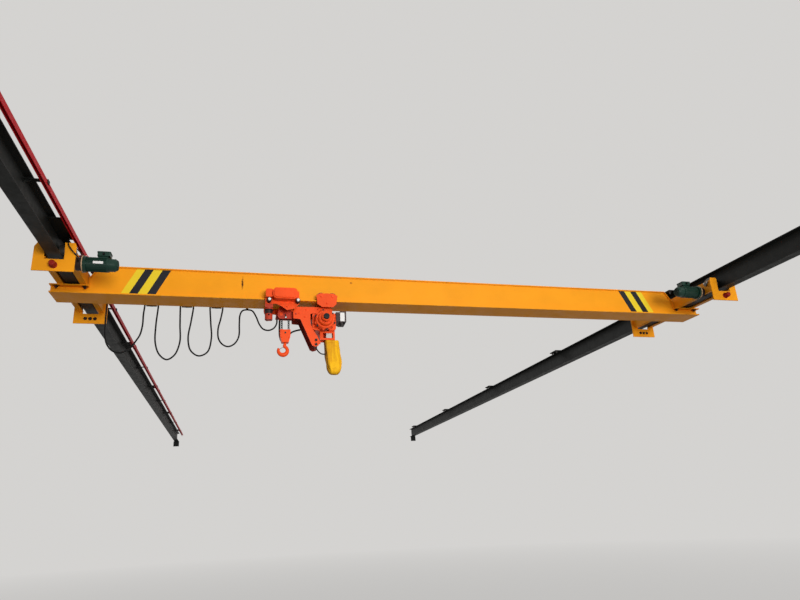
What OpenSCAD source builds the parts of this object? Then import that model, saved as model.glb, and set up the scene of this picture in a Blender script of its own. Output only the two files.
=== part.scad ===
// Under-running overhead bridge crane with a low-headroom electric chain hoist.
// X runs along the girder, Y along the runways, Z up. The origin is on top of the
// left runway's ceiling plate, above the bridge where it stands at rest.

/* [Runways] */
// Distance between the two runway beams, centre to centre
gauge = 6600; // [5000:50:9000]
// Height of a runway beam
beam_h = 220; // [200:5:260]
// Flange width of a runway beam
beam_w = 110; // [100:2:120]
// Web thickness of a runway beam
beam_web = 7.5; // [6:0.5:10]
// Mean flange thickness of a runway beam
beam_flange = 12.3; // [11:0.1:14]
// Distance between two ceiling beams that carry the runways
bay = 2800; // [2400:50:3200]
// Number of bays
bays = 5; // [4:1:6]
// Runway length past the first and the last ceiling plate
overhang = 600; // [500:10:900]
// Thickness of a ceiling plate
plate_t = 12; // [10:1:20]
// Ceiling plate size across the beam
plate_x = 260; // [240:5:320]
// Ceiling plate size along the beam
plate_y = 200; // [160:5:260]
// Anchor hole distance across the beam
anchor_x = 200; // [180:5:220]
// Anchor hole distance along the beam
anchor_y = 140; // [100:5:150]
// Anchor hole diameter
anchor_d = 18; // [12:1:22]

/* [Conductor bar] */
// Distance of the conductor bar from the left runway's centre
bar_x = 143; // [135:1:155]
// Width of the conductor bar
bar_w = 26; // [22:1:30]
// Height of the conductor bar
bar_h = 44; // [36:1:48]
// Distance between two conductor brackets
bracket_pitch = 1400; // [1000:50:1600]

/* [Girder] */
// Depth of the box girder, flange to top plate
girder_h = 289; // [270:1:300]
// Width of the bottom flange, on which the trolley wheels run
girder_w = 290; // [280:2:310]
// Thickness of the bottom flange
girder_flange = 12; // [10:1:14]
// Distance between the outer faces of the two webs
web_span = 200; // [190:2:206]
// Thickness of a web
web_t = 6; // [5:1:8]
// Thickness of the top plate and of its bent ends
top_t = 8; // [6:1:10]
// How far the top plate overhangs each web
top_lip = 15; // [8:1:20]
// Depth of the lowered end under the runway
end_h = 78; // [70:1:85]
// Thickness of the saddle plate under the truck
saddle_t = 10; // [8:1:12]
// Overhang of the saddle plate past the front and the back of the webs
saddle_lip = 60; // [50:1:70]
// How far the girder reaches past the runway's centre
end_reach = 188; // [170:1:200]
// Clearance between the runway and the saddle plate
run_gap = 12; // [8:1:16]

/* [End trucks] */
// Length of an end truck between its end plates
truck_l = 1448; // [1300:4:1700]
// Offset of the trucks from the girder's centre, towards the front
truck_shift = 50; // [0:5:80]
// Distance between the outer faces of a truck's two channels
channel_span = 244; // [240:2:260]
// Height of a truck channel
channel_h = 126; // [120:1:140]
// Flange width of a truck channel
channel_b = 53; // [48:1:55]
// Web thickness of a truck channel
channel_t = 5.5; // [5:0.5:8]
// Width of the U-shaped end plate
end_plate_w = 315; // [300:1:330]
// Thickness of the end plate
end_plate_t = 10; // [8:1:14]
// Height of the end plate
end_plate_h = 257; // [250:1:270]
// Width of the notch that lets the runway through
notch_w = 150; // [140:1:160]
// Distance of the notch's foot below the runway
notch_drop = 28; // [20:1:32]
// Axle distance from the end plates
axle_inset = 100; // [95:1:130]
// Height of the wheel axle above the runway's underside
axle_up = 77; // [70:1:90]
// Diameter of a wheel axle
axle_d = 35; // [30:1:40]
// Running clearance between a wheel and the runway
wheel_gap = 0.3; // [0.2:0.1:0.6]
// Tooth module of the travel gears
gear_m = 4; // [3:0.5:4]
// Teeth of the gear on the driven wheel
gear_z = 39; // [36:1:40]
// Teeth of the motor pinion
pinion_z = 17; // [15:1:18]
// Height of the axle above the motor shaft
motor_drop = 60; // [50:1:70]
// Diameter of the buffer
buffer_d = 62; // [50:1:70]
// Length of the buffer
buffer_l = 60; // [50:1:80]

/* [Travel motors] */
// Diameter of the motor's body
motor_d = 128; // [110:2:140]
// Length of the motor's finned body
motor_l = 200; // [150:5:230]
// Length of the fan cover
fan_l = 70; // [50:1:80]
// Distance of the terminal box from the reducer
box_at = 158; // [100:1:165]
// How far the drive-end shield stands out round the motor
shield_h = 8; // [4:1:10]
// Height of a cooling fin
fin_h = 6; // [4:0.5:8]
// Number of cooling fins
fins = 24; // [18:2:30]
// Thickness of the reducer between channel and motor
reducer_t = 58; // [40:1:70]

/* [Trolleys] */
// Centre of the driven trolley from the left runway
trolley_x = 1900; // [1500:10:2500]
// Distance between the driven and the plain trolley
trolley_gap = 430; // [420:5:460]
// Radius of a trolley wheel's tread
wheel_r = 34; // [30:1:38]
// Distance between the trolley plates, inside
trolley_span = 326; // [322:1:340]
// Thickness of a trolley plate
trolley_t = 8; // [6:1:10]
// Distance between the wheels of the plain trolley
plain_pitch = 112; // [104:1:120]
// Distance between the wheels of the driven trolley
driven_pitch = 160; // [140:2:170]

/* [Hoist] */
// Radius of the hoist's round cover
cover_r = 96; // [88:1:98]
// Height of the hoist's shaft below the origin
hoist_drop = 515; // [510:1:520]
// Distance between the frame plates, inside
frame_span = 184; // [176:2:190]
// Thickness of a frame plate
frame_t = 8; // [6:1:10]
// Wire diameter of the load chain
chain_d = 7; // [6:0.5:7]
// Pitch of the load chain
chain_p = 21; // [20:0.5:22]
// Distance between the two chain falls
fall_gap = 68; // [64:1:72]
// Top of the hook block below the origin
block_drop = 590; // [580:1:620]
// Height of the hook block's housing
block_h = 130; // [120:1:140]

/* [Cable] */
// Diameter of the festoon cable
cable_d = 16; // [12:1:18]
// Distance of the festoon line from the girder's centre
line_y = 232; // [225:1:245]

/* [Hidden] */
$fn = 48;
fit = 0.3;

// Heights of the runway
run_z = -plate_t - beam_h;
run_from = -bay - overhang;
run_to = (bays - 1) * bay + overhang;
flange_slope = 1 / 6;
function flange_top(x) = beam_flange + ((beam_w - beam_web) / 4 + beam_web / 2 - x) * flange_slope;

// Heights of the girder
girder_z = run_z - run_gap - end_h;
girder_top = girder_z + girder_h;
saddle_z = run_z - run_gap;
web_foot = girder_z + girder_flange;
web_out = web_span / 2;
rise_x = channel_span / 2 + 4;
rise_z = run_z + 75;
slope_x = rise_x + 92;

// Truck values
truck_front = -truck_shift - truck_l / 2;
truck_back = -truck_shift + truck_l / 2;
axle_z = run_z + axle_up;
channel_in = channel_span / 2 - channel_t;
plate_foot = run_z - 133;
gear_r = gear_m * gear_z / 2;
pinion_r = gear_m * pinion_z / 2;
front_axle = truck_front + axle_inset;
back_axle = truck_back - axle_inset;
motor_y = front_axle + sqrt(pow(gear_r + pinion_r, 2) - pow(motor_drop, 2));
motor_z = axle_z - motor_drop;
motor_x = channel_span / 2 + reducer_t;
wheel_in = 18;
wheel_out = beam_w / 2;
rim_t = 9;
hub_r = 27;
gear_in = wheel_out + 4 + rim_t;
gear_out = gear_in + 20;
gear_room = 9;
mesh = atan2(motor_y - front_axle, axle_z - motor_z);
buffer_z = (plate_foot + run_z - notch_drop) / 2;

// Conductor bar and stop values
bar_z = run_z + 138;
arm_t = 6;
stop_inset = 150;
stop_t = 12;

// Trolley values
plain_x = trolley_x + trolley_gap;
track_z = web_foot;
roller_z = track_z + fit + wheel_r;
trolley_in = trolley_span / 2;
pin_z = girder_z - 25;
pin_d = 20;
rim_in = girder_w / 2 + 2;

// Hoist values
frame_out = frame_span / 2 + frame_t;
hoist_x = plain_x - 20;
hoist_z = -hoist_drop;
body_w = 2 * cover_r + 44;
chain_seat = fall_gap / 2;
shaft_d = 120;
groove_r = chain_seat - 1.4 * chain_d;
sprocket_x = trolley_x + 31;
sprocket_z = pin_z - 93;
block_z = -block_drop;
block_wheel_z = block_z - 34;
swivel_z = block_z - block_h;
bag_tilt = 5;

// A bent strip of thickness t under the line p, in X and Z
function unit(a) = a / norm(a);
function normal(a, b) = unit([a[1] - b[1], b[0] - a[0]]);
function miter(p, i) =
    i == 0 ? normal(p[0], p[1]) :
    i == len(p) - 1 ? normal(p[i - 1], p[i]) :
    let (m = normal(p[i - 1], p[i]), n = normal(p[i], p[i + 1])) (m + n) / (1 + m * n);
function inset(p, t) = [for (i = [0 : len(p) - 1]) p[i] - t * miter(p, i)];
function strip(p, t) = concat(p, [for (i = [len(p) - 1 : -1 : 0]) inset(p, t)[i]]);

// Extrudes an outline in X and Z along Y, between two places
module along_y(from, to) {
    translate([0, to, 0]) rotate([90, 0, 0]) linear_extrude(to - from) children();
}

// Extrudes an outline in Y and Z along X, between two places
module along_x(from, to) {
    translate([from, 0, 0]) rotate([90, 0, 90]) linear_extrude(to - from) children();
}

module block(a, b) {
    translate(a) cube(b - a);
}

module rounded(w, h, r) {
    square([w - 2 * r, h], center = true);
    square([w, h - 2 * r], center = true);
    for (x = [-1, 1], y = [-1, 1])
        translate([x * (w / 2 - r), y * (h / 2 - r)]) circle(r);
}

module rod_y(x, z, d, from, to) {
    translate([x, from, z]) rotate([-90, 0, 0]) cylinder(d = d, h = to - from);
}

module rod_x(y, z, d, from, to) {
    translate([from, y, z]) rotate([0, 90, 0]) cylinder(d = d, h = to - from);
}

// Runways
module beam_outline() {
    w = beam_web / 2;
    b = beam_w / 2;
    half = [[w, flange_top(w)], [b, flange_top(b)], [b, 0]];
    quarter = [for (p = half) [p[0], beam_h - p[1]]];
    right = concat([for (i = [2 : -1 : 0]) half[i]], quarter);
    polygon(concat(right, [for (i = [len(right) - 1 : -1 : 0]) [-right[i][0], right[i][1]]]));
}

module runway(x) {
    color("#1d1f20") translate([x, 0, run_z]) along_y(run_from, run_to) beam_outline();
}

module ceiling_plates() {
    color("#242627") for (x = [0, gauge], i = [-1 : bays - 1])
        translate([x, i * bay, -plate_t]) difference() {
            translate([-plate_x / 2, -plate_y / 2, 0]) cube([plate_x, plate_y, plate_t]);
            for (a = [-1, 1], b = [-1, 1])
                translate([a * anchor_x / 2, b * anchor_y / 2, -1]) cylinder(d = anchor_d, h = plate_t + 2);
        }
}

module end_stops() {
    face_h = 140;
    ends = [run_from + stop_inset, run_to - stop_inset];
    color("#242627") for (x = [0, gauge], e = [0, 1]) translate([x, ends[e], run_z]) mirror([0, e, 0]) {
        block([-60, -120, -10], [60, 0, 0]);
        block([-70, -stop_t, -face_h], [70, 0, -10]);
        along_x(-5, 5) polygon([[-stop_t, -10], [-stop_t, -face_h], [-110, -10]]);
    }
}

module conductor_bar() {
    w = bar_w / 2;
    color("#8c1020") translate([bar_x, 0, bar_z]) along_y(run_from + 100, run_to - 100)
        polygon([[-w, 0], [-w + 4, 0], [-w + 4, bar_h - 6], [w - 4, bar_h - 6], [w - 4, 0], [w, 0],
            [w, bar_h], [-w, bar_h]]);
}

module conductor_brackets() {
    count = floor((run_to - run_from - 600) / bracket_pitch);
    feed = [-1110, -700];
    w = bar_w / 2;
    top = bar_z + bar_h;
    color("#1a1a1c") for (i = [0 : count]) translate([0, run_from + 320 + i * bracket_pitch, 0]) {
        block([beam_web / 2, -20, top], [bar_x + w + 6, 20, top + arm_t]);
        along_y(-3, 3) polygon([[beam_web / 2, top], [beam_web / 2, top - 24], [beam_w / 2, top]]);
        for (s = [-1, 1]) translate([bar_x + s * (w + 3), 0, top - 10]) cube([6, 40, 20], center = true);
    }
    color("#1a1a1c") block([beam_web / 2, feed[0], top], [bar_x, feed[1], top + arm_t]);
}

// Box girder with two lowered ends
top_line = [[rise_x, saddle_z], [rise_x, rise_z], [slope_x, girder_top],
    [gauge - slope_x, girder_top], [gauge - rise_x, rise_z], [gauge - rise_x, saddle_z]];

module web_outline() {
    under = inset(top_line, top_t);
    left = [[-end_reach + top_t, web_foot], [-end_reach + top_t, saddle_z - saddle_t],
        [rise_x + top_t, saddle_z - saddle_t]];
    right = [[gauge - rise_x - top_t, saddle_z - saddle_t],
        [gauge + end_reach - top_t, saddle_z - saddle_t], [gauge + end_reach - top_t, web_foot]];
    polygon(concat(left, under, right));
}

module girder_web(y) {
    color("#f79a1c") along_y(y, y + web_t) web_outline();
}

module girder_bottom_flange() {
    w = girder_w / 2;
    color("#c87818") block([-end_reach, -w, girder_z], [gauge + end_reach, w, web_foot]);
}

module girder_top_plate() {
    color("#f79a1c") along_y(-web_out - top_lip, web_out + top_lip) polygon(strip(top_line, top_t));
}

// Saddle bolts, outside and inside the truck
saddle_bolts = [-134, 105];

module girder_saddles() {
    color("#f79a1c") for (m = [0, 1]) translate([m * gauge, 0, 0]) mirror([m, 0, 0]) {
        block([-end_reach, -web_out - saddle_lip, saddle_z - saddle_t],
            [rise_x + top_t, web_out + saddle_lip, saddle_z]);
        for (x = saddle_bolts, y = [-1, 1])
            translate([x, y * (web_out + saddle_lip / 2), 0]) {
                translate([0, 0, saddle_z - saddle_t - 13]) cylinder(d = 26, h = 13, $fn = 6);
                translate([0, 0, saddle_z - saddle_t - 22]) cylinder(d = 16, h = 10);
            }
    }
}

module girder_end_caps() {
    color("#f79a1c") for (m = [0, 1]) translate([m * gauge, 0, 0]) mirror([m, 0, 0])
        block([-end_reach, -web_out, web_foot], [-end_reach + top_t, web_out, saddle_z - saddle_t]);
}

// End trucks, drawn for the left runway and mirrored for the right one
module on_truck(side) {
    translate([side * gauge, 0, 0]) mirror([side, 0, 0]) children();
}

module channel_outline() {
    t = 9;
    polygon([[0, 0], [-channel_b, 0], [-channel_b, t - 2], [-channel_t, t], [-channel_t, channel_h - t],
        [-channel_b, channel_h - t + 2], [-channel_b, channel_h], [0, channel_h]]);
}

module truck_channels(side) {
    color("#f0951f") on_truck(side) for (m = [0, 1]) mirror([m, 0, 0]) difference() {
        translate([channel_span / 2, 0, saddle_z])
            along_y(truck_front + end_plate_t, truck_back - end_plate_t) channel_outline();
        for (y = [front_axle, back_axle]) rod_x(y, axle_z, axle_d + 2 * fit, 0, channel_span);
        if (m == 0) {
            rod_x(motor_y, motor_z, 40, 0, channel_span);
            block([0, front_axle - gear_r - gear_room, axle_z],
                [gear_out + 3, front_axle + gear_r + gear_room, run_z + beam_h]);
            block([0, front_axle - gear_r / 2, plate_foot],
                [gear_out + 3, motor_y + pinion_r + gear_room, axle_z]);
        }
    }
}

module end_plate_outline() {
    w = end_plate_w / 2;
    n = notch_w / 2;
    top = plate_foot + end_plate_h;
    foot = run_z - notch_drop;
    polygon([[-w, plate_foot], [w, plate_foot], [w, top - 30], [w - 12, top], [n - 6, top], [n, foot],
        [-n, foot], [-n + 6 - 12, top], [-w + 28, top], [-w, top - 46]]);
}

module truck_end_plates() {
    color("#f79a1c") for (side = [0, 1]) on_truck(side) {
        along_y(truck_front, truck_front + end_plate_t) end_plate_outline();
        along_y(truck_back - end_plate_t, truck_back) end_plate_outline();
    }
}

// Half a wheel's outline, radius against distance from the runway's centre
function tread(x) = axle_up - flange_top(x) - wheel_gap;

module wheel_body() {
    rotate_extrude() polygon([[axle_d / 2 + fit, wheel_in], [tread(wheel_in), wheel_in],
        [tread(wheel_out), wheel_out], [tread(wheel_out), wheel_out + 2], [gear_r, wheel_out + 4],
        [gear_r, wheel_out + 4 + rim_t], [hub_r, wheel_out + 4 + rim_t], [hub_r, wheel_out + 36],
        [axle_d / 2 + fit, wheel_out + 36]]);
}

// A spur gear with straight-flanked teeth
module gear_outline(teeth, play) {
    r = gear_m * teeth / 2;
    step = 360 / teeth;
    points = [for (i = [0 : teeth - 1], k = [0 : 3])
        let (rr = (k == 0 || k == 3) ? r - 1.2 * gear_m : r + 0.95 * gear_m - play,
            aa = step * (i + [-0.34, -0.13, 0.13, 0.34][k]))
        [rr * cos(aa), rr * sin(aa)]];
    polygon(points);
}

module truck_wheels() {
    color("#6b6f73") for (side = [0, 1]) on_truck(side) {
        for (m = [0, 1], y = [front_axle, back_axle]) mirror([m, 0, 0])
            translate([0, y, axle_z]) rotate([0, 90, 0]) wheel_body();
        translate([gear_in, front_axle, axle_z]) rotate([0, 90, 0]) linear_extrude(gear_out - gear_in)
            difference() {
                rotate(mesh + 180 / gear_z) gear_outline(gear_z, 0.5);
                circle(hub_r);
            }
    }
}

module truck_axles() {
    keeper_z = axle_z + axle_d / 2;
    color("#8a8d90") for (side = [0, 1]) on_truck(side)
        for (m = [0, 1], y = [front_axle, back_axle]) mirror([m, 0, 0]) {
            rod_x(y, axle_z, axle_d, wheel_in, channel_span / 2 + 16);
            block([channel_span / 2, y - 32, keeper_z - 8], [channel_span / 2 + 6, y + 32, keeper_z + 14]);
        }
}

module truck_buffers() {
    color("#8c1a14") for (side = [0, 1]) on_truck(side) for (m = [0, 1]) {
        face = m == 0 ? truck_front : truck_back;
        r = buffer_d / 2;
        translate([0, face, buffer_z]) mirror([0, m, 0]) rotate([90, 0, 0]) rotate_extrude()
            polygon([[0, 0], [r, 0], [r, 6], [r - 5, 10], [r - 5, buffer_l - 12], [r - 10, buffer_l - 3],
                [r - 16, buffer_l], [0, buffer_l]]);
    }
}

module drive_reducers() {
    color("#d9c8a8") for (side = [0, 1]) on_truck(side) translate([0, motor_y, motor_z]) rotate([0, 90, 0]) {
        translate([0, 0, channel_span / 2]) cylinder(d = 116, h = reducer_t - 8);
        translate([0, 0, motor_x - 8]) cylinder(d = 152, h = 8);
    }
}

module drive_motor(side) {
    body_to = motor_x + motor_l;
    r = motor_d / 2;
    color("#12402c") on_truck(side) {
        translate([0, motor_y, motor_z]) rotate([0, 90, 0]) {
            translate([0, 0, motor_x]) cylinder(r = r + shield_h, h = 24);
            translate([0, 0, motor_x]) cylinder(d = motor_d - 2 * fin_h, h = motor_l);
            for (i = [0 : fins - 1]) rotate((i + 0.5) * 360 / fins)
                translate([0, -1.5, motor_x + 14]) cube([motor_d / 2, 3, motor_l - 28]);
            translate([0, 0, body_to - 14]) cylinder(d = motor_d, h = 14);
            translate([0, 0, body_to]) rotate_extrude()
                polygon([[0, 0], [r - 6, 0], [r - 8, fan_l - 18], [r - 20, fan_l], [0, fan_l]]);
            translate([0, 0, gear_in + 2]) cylinder(d = 24, h = channel_span / 2 - gear_in - 2);
            translate([0, 0, gear_in + 2]) linear_extrude(16) rotate(mesh + 180) gear_outline(pinion_z, 0.5);
        }
        translate([motor_x + box_at, motor_y, motor_z]) block([-45, -32, r - fin_h - 6], [35, 32, r + 4]);
    }
}

module terminal_boxes() {
    color("#103626") for (side = [0, 1]) on_truck(side)
        translate([motor_x + box_at, motor_y, motor_z + motor_d / 2 + 4]) {
            linear_extrude(32) rounded(104, 92, 10);
            translate([0, 0, 32]) linear_extrude(8) rounded(110, 98, 12);
        }
}

module current_collector() {
    y = front_axle + 170;
    x = channel_span / 2;
    z = saddle_z + channel_h + 4;
    color("#6a1018") {
        block([x, y - 20, saddle_z + 60], [x + 5, y + 20, z]);
        block([x, y - 14, z], [bar_x + 12, y + 14, z + 6]);
        block([bar_x - 7, y - 50, z + 6], [bar_x + 7, y + 50, bar_z - 6]);
    }
}

// Festoon line along the back of the girder
line_from = rise_x + 70;
line_to = gauge - rise_x - 70;
line_z = girder_z + 107;
line_arm_z = girder_top - 50;
cable_start_x = 232;

module festoon_line() {
    color("#5c4a30") {
        rod_x(line_y, line_z, 10, line_from, line_to);
        for (x = [line_from + 12, line_to - 12]) translate([x, 0, 0]) {
            block([-12, web_out, line_arm_z], [12, line_y + 8, line_arm_z + 6]);
            block([-12, line_y + 2, line_z - 8], [12, line_y + 8, line_arm_z]);
        }
        block([cable_start_x - 12, line_y - 12, line_z - 12], [cable_start_x + 12, line_y + 12, line_z]);
    }
}

// Carriers that roll along the line, each with a saddle that the cable lies over
hang_x = [640, 973, 1258];
clamp_x = 1562;
saddle_r = 49.9;
hang_z = line_z - 87;

module line_ring(x, foot) {
    strap_y = line_y + cable_d / 2 + 2;
    translate([x, 0, line_z]) difference() {
        union() {
            rod_x(line_y, 0, 30, -12, 12);
            block([-12, strap_y, foot - line_z], [12, strap_y + 5, 0]);
        }
        rod_x(line_y, 0, 10 + 2 * fit, -13, 13);
    }
}

module cable_carrier(i) {
    x = hang_x[i];
    color("#202224") {
        line_ring(x, hang_z);
        translate([x, 0, hang_z]) along_y(line_y - 14, line_y + 11) intersection() {
            circle(r = saddle_r - fit);
            translate([-saddle_r, 0]) square([2 * saddle_r, saddle_r]);
        }
    }
}

module cable_clamp() {
    top = line_z - 85;
    color("#202224") {
        line_ring(clamp_x, top);
        block([clamp_x - 9, line_y - 10, top], [clamp_x + 9, line_y + 13, top + 6]);
    }
}

// Middle line of the festoon cable, from the girder's end to the sprocket bracket
cable_route = [[232, 232, -227], [232, 232, -290], [232, 232, -500], [240, 232, -610], [266, 232, -700],
    [322, 232, -765], [398, 232, -782], [468, 232, -748], [524, 232, -664], [556, 232, -600],
    [572, 232, -500], [572, 232, -400], [578, 232, -302], [596, 232, -258], [640, 232, -240],
    [684, 232, -258], [702, 232, -302], [692, 232, -500], [698, 232, -674], [740, 232, -790],
    [815, 232, -845], [884, 232, -800], [926, 232, -668], [918, 232, -490], [911, 232, -302],
    [929, 232, -258], [973, 232, -240], [1017, 232, -258], [1035, 232, -302], [1018, 232, -460],
    [1000, 232, -620], [1030, 232, -748], [1110, 232, -804], [1190, 232, -766], [1222, 232, -620],
    [1210, 232, -470], [1196, 232, -302], [1214, 232, -258], [1258, 232, -240], [1302, 232, -258],
    [1320, 232, -302], [1304, 232, -410], [1282, 232, -520], [1290, 232, -620], [1330, 232, -680],
    [1387, 232, -704], [1446, 232, -676], [1486, 232, -600], [1488, 232, -460], [1492, 232, -372],
    [1516, 232, -322], [1562, 232, -308], [1612, 226, -320], [1654, 208, -392], [1686, 194, -474],
    [1726, 181, -528], [1780, 166, -544], [1830, 150, -524], [1856, 136, -480], [1858, 130, -450],
    [1858, 130, -436]];

// Middle line of the lead from the sprocket bracket to the hoist
lead_route = [[1885, 130, -436], [1885, 130, -452], [1884, 130, -540], [1889, 130, -620], [1908, 130, -668],
    [1940, 130, -680], [1966, 130, -644], [1986, 130, -592], [2016, 130, -566], [2110, 130, -538],
    [2196, 130, -528], [2225.7, 130, -528]];

// Middle line of the cord that steadies the chain bag
bag_route = [[2226, -96, -778], [2226, -96, -790], [2234, -88, -806], [2252, -72, -824], [2280, -46, -837],
    [2310, -30, -838], [2329.9, -30, -838]];
bag_cord_d = 12;

function heading(p, i) = unit(p[min(i + 1, len(p) - 1)] - p[max(i - 1, 0)]);

// A tube of diameter d swept along the points p, in planes across Y
module tube(p, d, sides = 8) {
    last = len(p) - 1;
    rings = [for (i = [0 : last], k = [0 : sides - 1])
        let (t = heading(p, i), v = unit(cross(t, [0, 1, 0])), u = cross(v, t), a = 360 * k / sides)
        p[i] + d / 2 * (cos(a) * u + sin(a) * v)];
    walls = [for (i = [0 : last - 1], k = [0 : sides - 1])
        let (a = i * sides + k, b = i * sides + (k + 1) % sides)
        [a, a + sides, b + sides, b]];
    ends = [[for (k = [0 : sides - 1]) k], [for (k = [sides - 1 : -1 : 0]) last * sides + k]];
    polyhedron(rings, concat(walls, ends), convexity = 8);
}

module festoon_cable() {
    color("#121212") tube(cable_route, cable_d);
}

module hoist_cable() {
    color("#121212") tube(lead_route, cable_d + 2);
}

module bag_cord() {
    color("#161616") tube(bag_route, bag_cord_d);
}

// A hole through a plate of thickness t that starts at y, with clearance round the rod
module axle_hole(x, z, d, y, t) {
    rod_y(x, z, d + 2 * fit, y - 1, y + t + 1);
}

// Trolleys
module driven_outline() {
    polygon([[-170, 98], [-60, 98], [-60, 104], [60, 104], [155, 84], [155, -44], [110, -94], [36, -112],
        [-3, -84], [-62, -52], [-168, -52], [-175, -20]]);
}

module driven_trolley_plates() {
    color("#e2481f") for (s = [-1, 1]) {
        from = s < 0 ? -trolley_in - trolley_t : trolley_in;
        difference() {
            translate([trolley_x, 0, roller_z - 45]) along_y(from, from + trolley_t) driven_outline();
            for (m = [-1, 1]) axle_hole(trolley_x + m * driven_pitch / 2, roller_z, 20, from, trolley_t);
            axle_hole(trolley_x, pin_z, pin_d, from, trolley_t);
        }
    }
}

module plain_outline() {
    polygon([[-66, 52], [-106, 30], [-96, -60], [-50, -92], [62, -92], [94, -60], [106, 30], [66, 52]]);
}

module plain_trolley_plates() {
    color("#f0521f") for (s = [-1, 1]) {
        from = s < 0 ? -trolley_in - trolley_t : trolley_in;
        difference() {
            translate([plain_x, 0, roller_z - 20]) along_y(from, from + trolley_t) plain_outline();
            for (m = [-1, 1]) axle_hole(plain_x + m * plain_pitch / 2, roller_z, 20, from, trolley_t);
            axle_hole(plain_x, pin_z, pin_d, from, trolley_t);
        }
    }
}

// A flanged wheel with its stub axle, which stands proud of the trolley plate
module trolley_wheel(proud) {
    from = web_out + 5;
    rotate_extrude() polygon([[0, from], [wheel_r, from], [wheel_r, rim_in], [wheel_r + 9, rim_in],
        [wheel_r + 9, rim_in + 8], [16, rim_in + 8], [16, trolley_in], [10, trolley_in],
        [10, trolley_in + trolley_t + proud], [0, trolley_in + trolley_t + proud]]);
}

module trolley_wheels() {
    color("#5d6164") for (s = [0, 1], m = [-1, 1]) mirror([0, s, 0]) {
        translate([trolley_x + m * driven_pitch / 2, 0, roller_z]) rotate([-90, 0, 0])
            trolley_wheel(10 - 10 * s);
        translate([plain_x + m * plain_pitch / 2, 0, roller_z]) rotate([-90, 0, 0]) trolley_wheel(10);
    }
}

module trolley_pins() {
    face = trolley_in + trolley_t;
    color("#c9b9a0") {
        rod_y(trolley_x, pin_z, pin_d, -face, face + 12);
        rod_y(plain_x, pin_z, pin_d, -face - 12, face + 12);
    }
}

// Gear and motor cover on the front of the driven trolley
module trolley_drive() {
    front = -trolley_in - trolley_t;
    color("#ff5a28") {
        translate([trolley_x + 13, 0, roller_z - 14]) {
            along_y(front - 92, front) rounded(236, 112, 40);
            along_y(front - 104, front - 92) rounded(212, 90, 32);
        }
        translate([trolley_x - 138, 0, roller_z - 4]) along_y(front - 60, front) rounded(70, 84, 18);
    }
}

module travel_motor() {
    x = trolley_x - 138;
    y = -trolley_in + 45;
    z = girder_z - 84;
    color("#a84a20") {
        block([x - 38, -trolley_in, z], [x + 38, y + 40, z + 60]);
        translate([x, y, z - 14]) cylinder(d = 82, h = 14);
        translate([x, y, z - 118]) cylinder(d = 74, h = 104);
    }
}

module trolley_buffers() {
    front = -trolley_in - trolley_t;
    color("#e8e4dc") for (x = [-138, 137]) translate([trolley_x + x, 0, girder_z - 26]) {
        rod_y(0, 0, 42, front - 62, front);
        rod_y(0, 0, 26, front - 70, front - 62);
    }
}

// Bracket that holds the idler sprocket under the driven trolley
cheek_in = 26;
cheek_t = 6;
link_x = sprocket_x + 96;
link_z = sprocket_z - 6;
module cheek_outline() {
    polygon([[-62, 82], [-28, 112], [8, 112], [58, 40], [112, 30], [118, -16], [60, -38], [-58, -38],
        [-78, -10]]);
}

module sprocket_bracket() {
    color("#8e2c14") {
        for (s = [-1, 1]) {
            from = s < 0 ? -cheek_in - cheek_t : cheek_in;
            difference() {
                translate([sprocket_x, 0, sprocket_z]) along_y(from, from + cheek_t) cheek_outline();
                axle_hole(trolley_x, pin_z, pin_d, from, cheek_t);
                axle_hole(sprocket_x, sprocket_z, 16, from, cheek_t);
                axle_hole(link_x, link_z, 16, from, cheek_t);
            }
        }
        rod_y(link_x, link_z, 16, -frame_out - 8, frame_out + 8);
        block([1842, cheek_in + cheek_t, sprocket_z + 4], [1902, line_y - 88, sprocket_z + 14]);
        for (s = [-1, 1]) rod_y(link_x, link_z, 34, s < 0 ? -frame_out + frame_t + fit : cheek_in + cheek_t,
            s < 0 ? -cheek_in - cheek_t : frame_out - frame_t - fit);
    }
}

// A grooved wheel for the load chain with pockets for its flat links
module pocket_wheel() {
    pockets = 5;
    rim = 20;
    groove = 9.7;
    pocket_w = chain_p + chain_d;
    difference() {
        rotate([90, 0, 0]) rotate_extrude() polygon([[8 + fit, -rim], [chain_seat, -rim],
            [chain_seat, -groove - 2], [groove_r, -groove], [groove_r, groove], [chain_seat, groove + 2],
            [chain_seat, rim], [8 + fit, rim]]);
        for (i = [0 : pockets - 1]) rotate([0, (i + 0.5) * 360 / pockets, 0])
            translate([-pocket_w / 2, -14, groove_r]) cube([pocket_w, 28, 20]);
    }
}

module idler_sprocket() {
    color("#50504e") translate([sprocket_x, 0, sprocket_z]) {
        pocket_wheel();
        rod_y(0, 0, 16, -cheek_in - cheek_t - 8, cheek_in + cheek_t + 8);
    }
}

// Pins through the foot of the hoist frame
foot_x = 2226;
foot_pins = [-713, -756];

// Frame plates that tie the hoist, both trolleys and the sprocket bracket together
module frame_outline() {
    polygon([[2000, -440], [2020, -372], [2280, -368], [2304, -329], [2356, -329], [2366, -372], [2392, -390],
        [2392, -560], [2340, -604], [2268, -604], [2240, -570], [2236, -470], [2222, -432], [2172, -442],
        [2172, -544], [2202, -616], [2240, -673], [2260, -716], [2260, -742], [2248, -770], [2214, -780],
        [2186, -766], [2072, -500], [2004, -494]]);
}

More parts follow.
